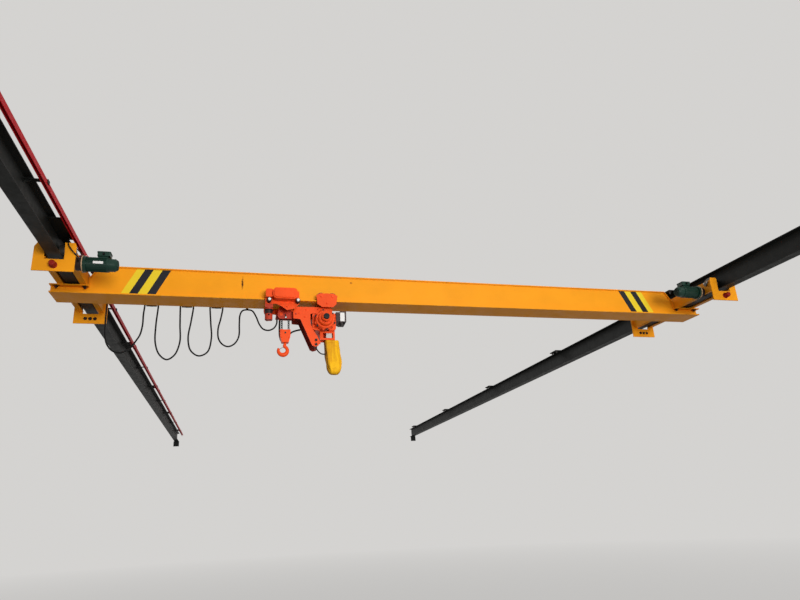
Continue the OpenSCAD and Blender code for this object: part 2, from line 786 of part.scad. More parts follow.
module hoist_frame() {
    color("#f2521f") {
        for (s = [-1, 1]) {
            from = s < 0 ? -frame_out : frame_out - frame_t;
            difference() {
                along_y(from, from + frame_t) frame_outline();
                axle_hole(plain_x, pin_z, pin_d, from, frame_t);
                axle_hole(link_x, link_z, 16, from, frame_t);
                axle_hole(hoist_x, hoist_z, shaft_d, from, frame_t);
                for (z = foot_pins) axle_hole(foot_x, z, 12, from, frame_t);
            }
        }
        for (z = foot_pins) {
            rod_y(foot_x, z, 12, -frame_out, frame_out);
            for (y = [-frame_out - 8, frame_out]) rod_y(foot_x, z, 20, y, y + 8);
        }
    }
}

// Hoist body: stepped gear cover in front, chain housing, motor behind
module hoist_gear_cover() {
    color("#ff5a28") translate([hoist_x, -frame_out, hoist_z]) rotate([90, 0, 0]) {
        rotate_extrude() polygon([[0, 0], [cover_r, 0], [cover_r, 60], [cover_r - 8, 72], [cover_r - 22, 72],
            [cover_r - 26, 104], [cover_r - 34, 112], [44, 112], [44, 150], [36, 158], [0, 158]]);
        for (i = [0 : 5]) rotate(i * 60 + 20) translate([cover_r, 0, 0]) cylinder(d = 22, h = 56);
    }
}

module hoist_motor() {
    fins_m = 20;
    color("#e04a20") translate([hoist_x, 0, hoist_z]) {
        along_y(-frame_out + frame_t, frame_out - frame_t) difference() {
            rounded(body_w, 2 * cover_r - 6, 30);
            translate([20, -cover_r + 8]) square([60, 30], center = true);
        }
        rod_y(0, 0, shaft_d, -frame_out, frame_out);
        rotate([-90, 0, 0]) translate([0, 0, frame_out]) {
            cylinder(r = cover_r, h = 16);
            cylinder(r = cover_r - 12, h = 130);
            for (i = [0 : fins_m - 1]) rotate(i * 360 / fins_m)
                translate([0, -2, 16]) cube([cover_r - 2, 4, 104]);
            translate([0, 0, 130]) rotate_extrude()
                polygon([[0, 0], [cover_r - 6, 0], [cover_r - 6, 34], [cover_r - 18, 48], [0, 48]]);
        }
    }
}

module control_box() {
    x = hoist_x + cover_r + 22;
    color("#3a2a24") {
        block([x, -110, hoist_z], [x + 40, 60, hoist_z + 96]);
        block([x + 40, -118, hoist_z - 6], [x + 102, 66, hoist_z + 104]);
    }
}

module chain_guide() {
    x = hoist_x;
    z = hoist_z - cover_r + 3;
    color("#a01c14") {
        difference() {
            block([x - 40, -60, z - 90], [x + 110, 40, z]);
            block([x - 28, -48, z - 91], [x + 98, 28, z - 12]);
            block([x - 10, -61, z - 70], [x + 90, -40, z - 18]);
        }
        block([foot_x + 6 + fit, -20, z - 122], [x - 30, -8, z - 90]);
    }
}

// Load chain: one round link, then runs of links turned by a quarter each
module chain_link() {
    r = 1.2 * chain_d;
    half = (chain_p + chain_d) / 2 - r;
    wire = chain_d - fit;
    for (s = [-1, 1]) {
        translate([0, 0, s * half]) rotate([90, 0, 0]) rotate([0, 0, s > 0 ? 0 : 180])
            rotate_extrude(angle = 180, $fn = 20) translate([r, 0]) circle(d = wire, $fn = 16);
        translate([s * r, 0, -half]) cylinder(d = wire, h = 2 * half, $fn = 16);
    }
}

// Hangs a number of links from a point
module chain_down(links) {
    for (i = [0 : links - 1])
        translate([0, 0, -(i + 0.5) * chain_p]) rotate([0, 0, i % 2 == 0 ? 45 : -45]) chain_link();
}

module chain_falls() {
    fall = sprocket_z - block_wheel_z;
    links = ceil(fall / chain_p);
    top = sprocket_z + (links * chain_p - fall) / 2;
    color("#202022") for (s = [-1, 1]) translate([sprocket_x + s * chain_seat, 0, top]) chain_down(links);
}

// From the top of the idler sprocket to the chain housing's side
module chain_run() {
    target = [hoist_x - body_w / 2, hoist_z + 65];
    dip = asin((sprocket_z + chain_seat - target[1]) / (target[0] - sprocket_x));
    start = [sprocket_x + chain_seat * sin(dip), sprocket_z + chain_seat * cos(dip)];
    long = norm(target - start) - chain_d - fit;
    links = floor(long / chain_p);
    color("#303032") translate([start[0], 0, start[1]]) rotate([0, dip - 90, 0])
        translate([0, 0, links * chain_p - long]) chain_down(links);
}

module chain_bag() {
    x = hoist_x + 81;
    guide_end = 29;
    top = hoist_z - cover_r - 87 - fit - guide_end * tan(bag_tilt);
    color("#f0a818") translate([x, -8, top]) rotate([0, -bag_tilt, 0]) mirror([0, 0, 1]) hull() {
        linear_extrude(4) rounded(148, 116, 22, $fn = 24);
        translate([-4, 0, 290]) linear_extrude(4) rounded(130, 112, 30, $fn = 24);
        translate([-6, 0, 336]) linear_extrude(4) rounded(92, 78, 26, $fn = 24);
    }
}

// Hook block, its sprocket and the hook
module hook_block() {
    color("#ff5a28") difference() {
        translate([sprocket_x, 0, 0]) along_y(-34, 34) polygon([[-52, block_z], [52, block_z],
            [50, block_z - 70], [34, swivel_z], [-34, swivel_z], [-50, block_z - 70]]);
        translate([sprocket_x, 0, 0]) block([-60, -22, block_z - 76], [60, 22, block_z + 1]);
        rod_y(sprocket_x, block_wheel_z, 16 + 2 * fit, -40, 40);
        translate([sprocket_x, 0, swivel_z - 1]) cylinder(d = 26 + 2 * fit, h = 60);
        translate([sprocket_x, 0, block_z - 100]) cylinder(d = 44, h = 30);
    }
}

module block_sprocket() {
    color("#50504e") translate([sprocket_x, 0, block_wheel_z]) {
        pocket_wheel();
        rod_y(0, 0, 16, -40, 40);
    }
}

// Forged hook: shank, bowl that swells towards its foot, tip to the left
module hook() {
    bowl = 44;
    z = swivel_z - 78;
    color("#ff5a28") translate([sprocket_x - 20, 0, 0]) {
        translate([20, 0, swivel_z - 20]) cylinder(d = 26, h = 62);
        translate([20, 0, swivel_z + 30 + fit]) cylinder(d = 40, h = 12);
        for (i = [0 : 6]) hull() for (k = [i, i + 1])
            translate([bowl * cos(95 - k * 39), 0, z + bowl * sin(95 - k * 39)])
                sphere(r = 14 + 5 * sin(k * 22), $fn = 14);
        hull() {
            translate([20, 0, swivel_z - 14]) sphere(r = 14, $fn = 14);
            translate([bowl * cos(95), 0, z + bowl * sin(95)]) sphere(r = 13, $fn = 14);
        }
    }
}

runway(0);  // runway_left
runway(gauge);  // runway_right
ceiling_plates();
end_stops();
conductor_bar();
conductor_brackets();
girder_web(-web_out);  // girder_front_web
girder_web(web_out - web_t);  // girder_back_web
girder_bottom_flange();
girder_top_plate();
girder_saddles();
girder_end_caps();
truck_channels(0);  // left_truck_channels
truck_channels(1);  // right_truck_channels
truck_end_plates();
truck_wheels();
truck_axles();
truck_buffers();
drive_reducers();
drive_motor(0);  // left_drive_motor
drive_motor(1);  // right_drive_motor
terminal_boxes();
current_collector();
festoon_line();
cable_carrier(0);  // cable_carrier_1
cable_carrier(1);  // cable_carrier_2
cable_carrier(2);  // cable_carrier_3
cable_clamp();
festoon_cable();
driven_trolley_plates();
plain_trolley_plates();
trolley_wheels();
trolley_pins();
trolley_drive();
travel_motor();
trolley_buffers();
sprocket_bracket();
idler_sprocket();
hoist_frame();
hoist_gear_cover();
hoist_motor();
control_box();
chain_guide();
hoist_cable();
bag_cord();
chain_run();
chain_bag();
chain_falls();
hook_block();
block_sprocket();
hook();
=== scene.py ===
"""Looks of an underslung bridge crane with a low-headroom electric chain hoist.

The construction comes from the frame. Sizes here are metres in the same frame: X along
the girder, Y along the runways, Z up, zero on top of the left runway's ceiling plate.
"""

import math

import bmesh
import bpy
import numpy as np
from mathutils import Matrix, Vector


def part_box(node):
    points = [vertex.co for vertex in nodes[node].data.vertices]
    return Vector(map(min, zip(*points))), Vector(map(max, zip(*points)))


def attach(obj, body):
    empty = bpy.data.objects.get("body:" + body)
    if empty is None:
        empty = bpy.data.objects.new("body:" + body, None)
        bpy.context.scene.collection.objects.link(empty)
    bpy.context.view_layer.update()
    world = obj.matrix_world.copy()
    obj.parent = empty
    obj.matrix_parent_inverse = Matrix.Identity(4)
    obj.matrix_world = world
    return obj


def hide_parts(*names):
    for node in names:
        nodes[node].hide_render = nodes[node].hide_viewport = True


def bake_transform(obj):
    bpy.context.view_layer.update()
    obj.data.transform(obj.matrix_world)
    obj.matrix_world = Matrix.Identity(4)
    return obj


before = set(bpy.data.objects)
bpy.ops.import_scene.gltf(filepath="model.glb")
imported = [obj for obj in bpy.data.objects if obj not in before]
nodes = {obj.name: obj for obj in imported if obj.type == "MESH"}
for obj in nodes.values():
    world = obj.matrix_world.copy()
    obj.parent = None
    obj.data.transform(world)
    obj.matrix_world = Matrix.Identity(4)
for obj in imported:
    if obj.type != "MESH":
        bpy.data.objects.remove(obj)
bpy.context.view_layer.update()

# The camera stands on the floor 1.6 m up, left of the middle of the bay, and looks up at
# the girder through a phone's wide lens. The shift is the small crop of the photograph.
EYE = (1.462, -5.925, -2.382)
TILT, ROLL, HEADING = 108.284, 2.964, -14.567
camera_data = bpy.data.cameras.new("camera")
camera_data.sensor_width = 36.0
camera_data.lens = 27.53
camera_data.shift_x = 0.0023
camera_data.shift_y = 0.0144
camera_data.clip_start = 0.05
camera_data.clip_end = 100.0
camera = bpy.data.objects.new("camera", camera_data)
camera.location = EYE
camera.rotation_euler = [math.radians(a) for a in (TILT, ROLL, HEADING)]
bpy.context.scene.collection.objects.link(camera)
bpy.context.scene.camera = camera
bpy.context.scene.view_settings.view_transform = "Standard"

# Cables are black rubber leads. The festoon cable comes down from a clamp at the girder's
# left end, lies over three saddles and through one clamp that roll along the line, and
# ends at the sprocket bracket, from where a thicker lead runs on to the hoist's motor.
CABLE_D = 0.016
LEAD_D = 0.018
BAG_CORD_D = 0.012
SADDLE_X = (0.640, 0.973, 1.258)
SADDLE_Z = -0.302
ARC_R = 0.062
LINE_Y = 0.232


def shader(name, base, rough, metal=0.0, gloss=0.2):
    """A new material with its nodes, its output shader and the plain values set."""
    mat = bpy.data.materials.new(name)
    mat.use_nodes = True
    tree = mat.node_tree
    bsdf = tree.nodes["Principled BSDF"]
    bsdf.inputs["Base Color"].default_value = (*base, 1)
    bsdf.inputs["Roughness"].default_value = rough
    bsdf.inputs["Metallic"].default_value = metal
    bsdf.inputs["Specular IOR Level"].default_value = gloss
    mat.diffuse_color = (*base, 1)
    return mat, tree, bsdf


def new_node(tree, kind, operation=None, **values):
    """A shader node of a kind, with its operation and its plain values set."""
    node = tree.nodes.new(kind)
    if operation:
        node.operation = operation
    for name, value in values.items():
        node.inputs[name].default_value = value
    return node


def place(tree):
    """Coordinates on the piece itself, in metres, which stay put as it moves."""
    return new_node(tree, "ShaderNodeTexCoord").outputs["Object"]


def along(tree, axis, source=None):
    """The X, Y or Z of a place on the piece, or of another vector."""
    split = new_node(tree, "ShaderNodeSeparateXYZ")
    tree.links.new(source or place(tree), split.inputs["Vector"])
    return split.outputs[axis]


def maths(tree, operation, first, second=None):
    """One step of arithmetic on an output, with a number or another output."""
    node = new_node(tree, "ShaderNodeMath", operation)
    tree.links.new(first, node.inputs[0])
    if isinstance(second, bpy.types.NodeSocket):
        tree.links.new(second, node.inputs[1])
    elif second is not None:
        node.inputs[1].default_value = second
    return node.outputs[0]


def speckle(tree, scale, detail=4.0, rough=0.6, stretch=None):
    """Noise of a given number of cells per metre, optionally stretched along an axis."""
    noise_node = new_node(tree, "ShaderNodeTexNoise", Scale=scale, Detail=detail, Roughness=rough)
    source = place(tree)
    if stretch:
        mapping = new_node(tree, "ShaderNodeMapping", Scale=stretch)
        tree.links.new(source, mapping.inputs["Vector"])
        source = mapping.outputs["Vector"]
    tree.links.new(source, noise_node.inputs["Vector"])
    return noise_node.outputs["Fac"]


def band(tree, value, low, high, to_low=0.0, to_high=1.0):
    """Maps a value between two limits, clamped, to a new range."""
    limits = {"From Min": low, "From Max": high, "To Min": to_low, "To Max": to_high}
    node = new_node(tree, "ShaderNodeMapRange", **limits)
    tree.links.new(value, node.inputs["Value"])
    return node.outputs["Result"]


def blend_colour(tree, factor, first, second):
    """Mixes two colours, each a plain colour or another node's output."""
    node = new_node(tree, "ShaderNodeMix")
    node.data_type = "RGBA"
    tree.links.new(factor, node.inputs[0])
    for socket, colour in ((node.inputs[6], first), (node.inputs[7], second)):
        if isinstance(colour, bpy.types.NodeSocket):
            tree.links.new(colour, socket)
        else:
            socket.default_value = (*colour, 1)
    return node.outputs[2]


def coat(tree, bsdf, factor, first, second):
    """Gives the surface a mix of two colours."""
    tree.links.new(blend_colour(tree, factor, first, second), bsdf.inputs["Base Color"])


def relief(tree, bsdf, height, depth, strength=1.0):
    """Bump of a given depth in metres on the shader's normal."""
    bump = new_node(tree, "ShaderNodeBump", Distance=depth, Strength=strength)
    tree.links.new(height, bump.inputs["Height"])
    tree.links.new(bump.outputs["Normal"], bsdf.inputs["Normal"])


def settled_dust(tree, colour, dust, amount):
    """Lays pale dust on the faces that look up, thicker where a slow noise says so."""
    normal = new_node(tree, "ShaderNodeNewGeometry").outputs["Normal"]
    upward = band(tree, along(tree, "Z", normal), 0.3, 0.95, 0.0, amount)
    patchy = band(tree, speckle(tree, 9.0), 0.3, 0.7, 0.4, 1.0)
    return blend_colour(tree, maths(tree, "MULTIPLY", upward, patchy), colour, dust)


def rubber(name, base, grain, gloss=0.12):
    """Black or coloured rubber and plastic: fine grain, faint scuffs, no metal."""
    mat, tree, bsdf = shader(name, base, 0.5, gloss=gloss)
    scuffed = tuple(min(1.0, c * 1.35 + 0.004) for c in base)
    scuffs = band(tree, speckle(tree, 55.0, 6.0, 0.7), 0.52, 0.75)
    coat(tree, bsdf, scuffs, base, scuffed)
    tree.links.new(band(tree, speckle(tree, 30.0), 0.3, 0.7, 0.42, 0.62), bsdf.inputs["Roughness"])
    relief(tree, bsdf, speckle(tree, grain, 2.0), 0.00005, 0.4)
    return mat
    return mat


def smooth_route(points, before, after, steps=6):
    """A centripetal Catmull-Rom line through the points; before and after set its ends' headings."""
    control = [np.array(p, float) for p in (before, *points, after)]
    line = []
    for i in range(1, len(control) - 2):
        p0, p1, p2, p3 = control[i - 1:i + 3]
        t1 = np.linalg.norm(p1 - p0) ** 0.5
        t2 = t1 + np.linalg.norm(p2 - p1) ** 0.5
        t3 = t2 + np.linalg.norm(p3 - p2) ** 0.5
        for k in range(steps):
            t = t1 + (t2 - t1) * k / steps
            a1 = (t1 - t) / t1 * p0 + t / t1 * p1
            a2 = (t2 - t) / (t2 - t1) * p1 + (t - t1) / (t2 - t1) * p2
            a3 = (t3 - t) / (t3 - t2) * p2 + (t - t2) / (t3 - t2) * p3
            b1 = (t2 - t) / t2 * a1 + t / t2 * a2
            b2 = (t3 - t) / (t3 - t1) * a2 + (t - t1) / (t3 - t1) * a3
            line.append((t2 - t) / (t2 - t1) * b1 + (t - t1) / (t2 - t1) * b2)
    line.append(control[-2])
    return [Vector(p) for p in line]


def stand(name, data):
    """Puts an object with this data into the scene."""
    made = bpy.data.objects.new(name, data)
    bpy.context.scene.collection.objects.link(made)
    return made


def piece(name, verts, faces, material, smooth=True):
    """A mesh object made from vertices and faces, with one material."""
    mesh = bpy.data.meshes.new(name)
    mesh.from_pydata([tuple(v) for v in verts], [], faces)
    mesh.materials.append(material)
    mesh.polygons.foreach_set("use_smooth", [smooth] * len(mesh.polygons))
    mesh.update()
    return stand(name, mesh)


def ring_faces(rings, sides, at=0, ends=False):
    """Faces that join each ring of vertices to the next, and close both ends if asked."""
    faces = [(at + i * sides + k, at + i * sides + (k + 1) % sides,
              at + (i + 1) * sides + (k + 1) % sides, at + (i + 1) * sides + k)
             for i in range(rings - 1) for k in range(sides)]
    if ends:
        faces.append(tuple(at + k for k in range(sides - 1, -1, -1)))
        faces.append(tuple(at + (rings - 1) * sides + k for k in range(sides)))
    return faces


def circle(radius, sides, height=0.0):
    """Points round the Z axis at one height."""
    angles = [2 * math.pi * k / sides for k in range(sides)]
    return [Vector((radius * math.cos(a), radius * math.sin(a), height)) for a in angles]


def swept(path, radii, sides=12, side_hint=(0, 1, 0)):
    """Vertices and faces of a closed round tube along a path, with a radius at each point."""
    verts = []
    last = len(path) - 1
    side = Vector(side_hint)
    for i, p in enumerate(path):
        forward = (path[min(i + 1, last)] - path[max(i - 1, 0)]).normalized()
        side = (side - forward * side.dot(forward)).normalized()
        up = forward.cross(side)
        for k in range(sides):
            a = 2 * math.pi * k / sides
            verts.append(p + (side * math.cos(a) + up * math.sin(a)) * radii[i])
    return verts, ring_faces(len(path), sides, ends=True)


def length_of(path):
    return sum((b - a).length for a, b in zip(path, path[1:]))


def lead(name, path, diameter, material):
    """A round cable of one diameter along a path."""
    verts, faces = swept(path, [diameter / 2] * len(path))
    return piece(name, verts, faces, material)


cable_rubber = rubber("cable_rubber", (0.0065, 0.006, 0.006), 900.0)
carrier_black = rubber("carrier_black", (0.010, 0.009, 0.009), 500.0)

# Each loop hangs between two of the carriers, which stay at a fixed share of the way from
# the first clamp to the trolley. Its points are millimetres, as it hung on the day.
LOOPS = [
    [(232, 232, -227), (232, 232, -290), (232, 232, -500), (240, 232, -610), (266, 232, -700),
     (322, 232, -765), (398, 232, -782), (468, 232, -748), (524, 232, -664), (556, 232, -600),
     (572, 232, -500), (572, 232, -400), (578, 232, -302)],
    [(702, 232, -302), (692, 232, -500), (698, 232, -674), (740, 232, -790), (815, 232, -845),
     (884, 232, -800), (926, 232, -668), (918, 232, -490), (911, 232, -302)],
    [(1035, 232, -302), (1018, 232, -460), (1000, 232, -620), (1030, 232, -748), (1110, 232, -804),
     (1190, 232, -766), (1222, 232, -620), (1210, 232, -470), (1196, 232, -302)],
    [(1320, 232, -302), (1304, 232, -410), (1282, 232, -520), (1290, 232, -620), (1330, 232, -680),
     (1387, 232, -704), (1446, 232, -676), (1486, 232, -600), (1488, 232, -460), (1492, 232, -372),
     (1516, 232, -322), (1562, 232, -308)],
    [(1562, 232, -308), (1612, 226, -320), (1654, 208, -392), (1686, 194, -474), (1726, 181, -528),
     (1780, 166, -544), (1830, 150, -524), (1856, 136, -480), (1858, 130, -450), (1858, 130, -436)],
]
LEAD_ROUTE = [(1885, 130, -436), (1885, 130, -452), (1884, 130, -540), (1889, 130, -620), (1908, 130, -668),
              (1940, 130, -680), (1966, 130, -644), (1986, 130, -592), (2016, 130, -566), (2110, 130, -538),
              (2196, 130, -528), (2225.7, 130, -528)]
BAG_CORD_ROUTE = [(2226, -96, -778), (2226, -96, -790), (2234, -88, -806), (2252, -72, -824),
                  (2280, -46, -837), (2310, -30, -838), (2329.9, -30, -838)]
UP, ALONG = Vector((0, 0, 0.04)), Vector((0.04, 0, 0))
HUNG_FROM = ("bridge", "carrier_1", "carrier_2", "carrier_3", "carrier_4", "trolley")
SWAY = 0.0085
SWAY_FADES = {0: 0.2, 3: 0.08}
STEEP = 0.80
SHORTEST_END = 7 * CABLE_D


def metres(points):
    return [Vector(p) / 1000 for p in points]


def hang_loop(index, heads):
    """One free loop. Its upright ends follow what they hang from, and only its bend is drawn out.
    They hang a little to either side, so that they pass each other when the carriers bunch up,
    and straight below the first bracket and beside the clamp, where the cable is held."""
    points = metres(LOOPS[index])
    path = smooth_route(points, points[0] + heads[0], points[-1] + heads[1])
    lowest = min(range(len(path)), key=lambda i: path[i].z)
    first = last = lowest
    while abs(path[first].z - path[first - 1].z) < STEEP * (path[first] - path[first - 1]).length:
        first -= 1
    while abs(path[last + 1].z - path[last].z) < STEEP * (path[last + 1] - path[last]).length:
        last += 1
    while length_of(path[last:]) < SHORTEST_END:
        last -= 1
    for k, point in enumerate(path):
        t = min(max((k - first) / (last - first), 0.0), 1.0)
        held = 1.0
        if index in SWAY_FADES:
            fixed = path[:k + 1] if index == 0 else path[k:]
            held = min(length_of(fixed) / SWAY_FADES[index], 1.0)
        if index < 4:
            point.y += SWAY * held * (1 - 2 * t * t * (3 - 2 * t))
    stretches = (("left_end", path[:first + 1]), ("bend", path[first:last + 1]), ("right_end", path[last:]))
    for k, (part, line) in enumerate(stretches):
        made = lead(f"festoon_loop_{index + 1}_{part}", line, CABLE_D, cable_rubber)
        if part == "bend":
            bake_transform(made)
        else:
            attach(made, HUNG_FROM[index + k // 2])
        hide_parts("festoon_cable")


for i in range(len(LOOPS)):
    heads = (-ALONG if i == 4 else UP, ALONG if i == 3 else UP)
    hang_loop(i, heads)
for i, x in enumerate(SADDLE_X):
    arc = [Vector((x - ARC_R * math.cos(math.pi * k / 16), LINE_Y - SWAY * math.cos(math.pi * k / 16),
                   SADDLE_Z + ARC_R * math.sin(math.pi * k / 16))) for k in range(17)]
    over = lead(f"cable_over_saddle_{i + 1}", arc, CABLE_D, cable_rubber)
    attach(over, f"carrier_{i + 1}")
    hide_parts("festoon_cable")

for name, node, route, size in (("hoist_lead", "hoist_cable", LEAD_ROUTE, LEAD_D),
                                ("bag_line", "bag_cord", BAG_CORD_ROUTE, BAG_CORD_D)):
    points = metres(route)
    path = smooth_route(points, points[0] + UP, points[-1] + ALONG)
    made = lead(name, path, size, cable_rubber)
    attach(made, "trolley")
    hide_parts(node)

# The runways are hot-rolled I beams, painted near-black and dusty on top of every flange.
# They hang on welded plates, each with four anchors whose nuts show from below.
RUNWAYS = ("runway_left", "runway_right", "ceiling_plates", "end_stops", "conductor_brackets")
ANCHOR_X, ANCHOR_Y = 0.100, 0.070
PLATE_T = 0.012
FORWARD, UPWARD, DOWNWARD = (0, -1, 0), (0, 0, 1), (0, 0, -1)
NUT_W = 0.024


def paint(name, base, rough, dust=0.25, patch=0.86, chips=None, gloss=0.2, dust_colour=(0.32, 0.29, 0.26)):
    """Brushed or sprayed enamel: cloudy tone, orange peel, dust above, chips if given."""
    mat, tree, bsdf = shader(name, base, rough, gloss=gloss)
    darker = tuple(c * patch for c in base)
    colour = blend_colour(tree, band(tree, speckle(tree, 3.2, 5.0), 0.35, 0.65), darker, base)
    if chips:
        fleck = band(tree, speckle(tree, 26.0, 9.0, 0.72), 0.685, 0.70)
        colour = blend_colour(tree, fleck, colour, chips)
    if dust:
        colour = settled_dust(tree, colour, dust_colour, dust)
    tree.links.new(colour, bsdf.inputs["Base Color"])
    sheen = band(tree, speckle(tree, 14.0, 6.0), 0.3, 0.7, rough - 0.07, rough + 0.10)
    tree.links.new(sheen, bsdf.inputs["Roughness"])
    relief(tree, bsdf, speckle(tree, 260.0, 2.0), 0.00012, 0.4)
    return mat


def dress(material, *names):
    """Gives CAD nodes their finish."""
    for n in names:
        data = nodes[n].data
        data.materials.clear()
        data.materials.append(material)


def finished(built, name, material):
    """An object from a mesh that was built up part by part."""
    mesh = bpy.data.meshes.new(name)
    built.to_mesh(mesh)
    built.free()
    mesh.materials.append(material)
    return stand(name, mesh)


def facing(way):
    """The turn that brings the Z axis round to way."""
    return Vector((0, 0, 1)).rotation_difference(Vector(way)).to_matrix().to_4x4()


def add_cone(built, base, sides, r1, r2, low, high):
    """Adds a round or many-sided part between two heights above base."""
    bmesh.ops.create_cone(built, cap_ends=True, segments=sides, radius1=r1, radius2=r2, depth=high - low,
                          matrix=base @ Matrix.Translation((0, 0, (low + high) / 2)))


def hex_heads(name, places, way, across, height, washer, material, body, stud=0.0, slot="wheel_steel"):
    """Hexagon heads or nuts on washers, standing on a face at each place along way."""
    built = bmesh.new()
    top = washer + height
    chamfer = washer + height * 0.85
    for i, p in enumerate(places):
        base = Matrix.Translation(p) @ facing(way) @ Matrix.Rotation(0.7 * i, 4, "Z")
        add_cone(built, base, 24, across * 1.05, across * 1.05, 0.0, washer)
        add_cone(built, base, 6, across * 0.577, across * 0.577, washer, chamfer)
        add_cone(built, base, 6, across * 0.577, across * 0.48, chamfer, top)
        if stud:
            add_cone(built, base, 16, across * 0.32, across * 0.30, top, top + stud)
    made = finished(built, name, material)
    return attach(made, body)


def steel(name, base, rough, stain=(0.09, 0.06, 0.04)):
    """Bare or zinc-coated steel with cloudy oil stains and fine scratches."""
    mat, tree, bsdf = shader(name, base, rough, 0.85)
    stains = band(tree, speckle(tree, 40.0, 6.0, 0.65), 0.5, 0.78)
    coat(tree, bsdf, stains, base, stain)
    lines = speckle(tree, 320.0, 2.0, 0.5, (1.0, 8.0, 1.0))
    tree.links.new(band(tree, lines, 0.3, 0.7, rough - 0.08, rough + 0.14), bsdf.inputs["Roughness"])
    relief(tree, bsdf, lines, 0.0001, 0.5)
    return mat


runway_paint = paint("runway_black", (0.0165, 0.0175, 0.0160), 0.5, dust=0.12, gloss=0.1)
dress(runway_paint, *RUNWAYS)
zinc = steel("zinc", (0.42, 0.41, 0.39), 0.36)
dull_zinc = steel("dull_zinc", (0.11, 0.105, 0.10), 0.5)
low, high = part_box("ceiling_plates")
gauge = high.x + low.x
plate_pitch = (high.y - low.y - 0.200) / 5
anchors = [(x + a * ANCHOR_X, low.y + 0.100 + i * plate_pitch + b * ANCHOR_Y, -PLATE_T)
           for x in (0, gauge) for i in range(6) for a in (-1, 1) for b in (-1, 1)]
hex_heads("anchor_nuts", anchors, DOWNWARD, NUT_W, 0.014, 0.003, dull_zinc, "runways", stud=0.012)

# The conductor bar is an extruded red plastic rail in joined lengths, open below for the
# collector, with a joint sleeve where two lengths meet.
BAR_LENGTH, SLEEVE_HALF, SLEEVE_T = 3.0, 0.06, 0.0025
SLEEVE_ENDS = ((0, 7, 6, 1), (1, 6, 5, 2), (2, 5, 4, 3), (9, 14, 15, 8), (10, 13, 14, 9), (11, 12, 13, 10))
bar_red = rubber("conductor_red", (0.56, 0.007, 0.015), 400.0)
dress(bar_red, "conductor_bar")
low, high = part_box("conductor_bar")
bar_x = (low.x + high.x) / 2
outer = (high.x - low.x) / 2 + 0.003
inner = outer - SLEEVE_T
foot, top, roof = low.z + 0.004, high.z + 0.003, high.z + 0.0005
outline = [(-outer, foot), (-outer, top), (outer, top), (outer, foot), (inner, foot), (inner, roof),
           (-inner, roof), (-inner, foot)]
sleeves, sleeve_faces = [], []
for i in range(1, int((high.y - low.y) / BAR_LENGTH) + 1):
    y = low.y + i * BAR_LENGTH
    at = len(sleeves)
    sleeves += [(bar_x + x, y + s, z) for s in (-SLEEVE_HALF, SLEEVE_HALF) for x, z in outline]
    sleeve_faces += ring_faces(2, len(outline), at)
    sleeve_faces += [tuple(at + k for k in end) for end in SLEEVE_ENDS]
joint_sleeves = piece("bar_joint_sleeves", sleeves, sleeve_faces, bar_red, smooth=False)
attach(joint_sleeves, "runways")

# The box girder is welded from plate and sprayed with orange enamel. Its underside and
# ends are the same paint, with handling marks and a burn from a lug that was cut away.
ORANGE = (0.93, 0.345, 0.011)
BURN = (1.505, -0.148)
SMUDGE = (2.593, -0.093)
GIRDER = ("girder_back_web", "girder_bottom_flange", "girder_top_plate", "girder_saddles",
          "girder_end_caps", "left_truck_channels", "right_truck_channels", "truck_end_plates")


def mark(tree, colour, x, z, wide, high, tint, strength):
    """A soft dark mark on the front web, round a point."""
    mapping = new_node(tree, "ShaderNodeMapping", Location=(-x / wide, 0, -z / high),
                       Scale=(1 / wide, 0, 1 / high))
    tree.links.new(place(tree), mapping.inputs["Vector"])
    distance = new_node(tree, "ShaderNodeVectorMath", "LENGTH")
    tree.links.new(mapping.outputs["Vector"], distance.inputs[0])
    grain = maths(tree, "MULTIPLY", speckle(tree, 60.0, 6.0, 0.7), 1.4)
    ragged = maths(tree, "ADD", grain, distance.outputs["Value"])
    return blend_colour(tree, band(tree, ragged, 0.95, 1.45, strength, 0.0), colour, tint)


def opened(material):
    """A finish's tree, shader and colour output, to lay more on it."""
    tree = material.node_tree
    bsdf = tree.nodes["Principled BSDF"]
    return tree, bsdf, bsdf.inputs["Base Color"].links[0].from_socket


girder_paint = paint("girder_orange", ORANGE, 0.42, dust=0.3, patch=0.93, chips=(0.5, 0.11, 0.01),
                     gloss=0.08, dust_colour=(0.45, 0.33, 0.2))
dress(girder_paint, *GIRDER)
front_paint = girder_paint.copy()
front_paint.name = "girder_front_orange"
tree, bsdf, colour = opened(front_paint)
colour = mark(tree, colour, *BURN, 0.016, 0.095, (0.05, 0.012, 0.004), 1.0)
colour = mark(tree, colour, *SMUDGE, 0.02, 0.02, (0.30, 0.07, 0.008), 0.8)
tree.links.new(colour, bsdf.inputs["Base Color"])
dress(front_paint, "girder_front_web")

# Hazard bands are sprayed over masks at both ends of the front web, black on yellow, and
# lean away from the middle of the span.
web_low, web_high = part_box("girder_front_web")
BAND_BOTTOM, BAND_TOP = web_low.z + 0.001, web_high.z - 0.0005
BAND_LEAN = 0.135
BAND_PROUD = 0.0004
YELLOW_BANDS = ((0.398, 0.075), (0.545, 0.090))
BLACK_BANDS = ((0.470, 0.076), (0.627, 0.076))


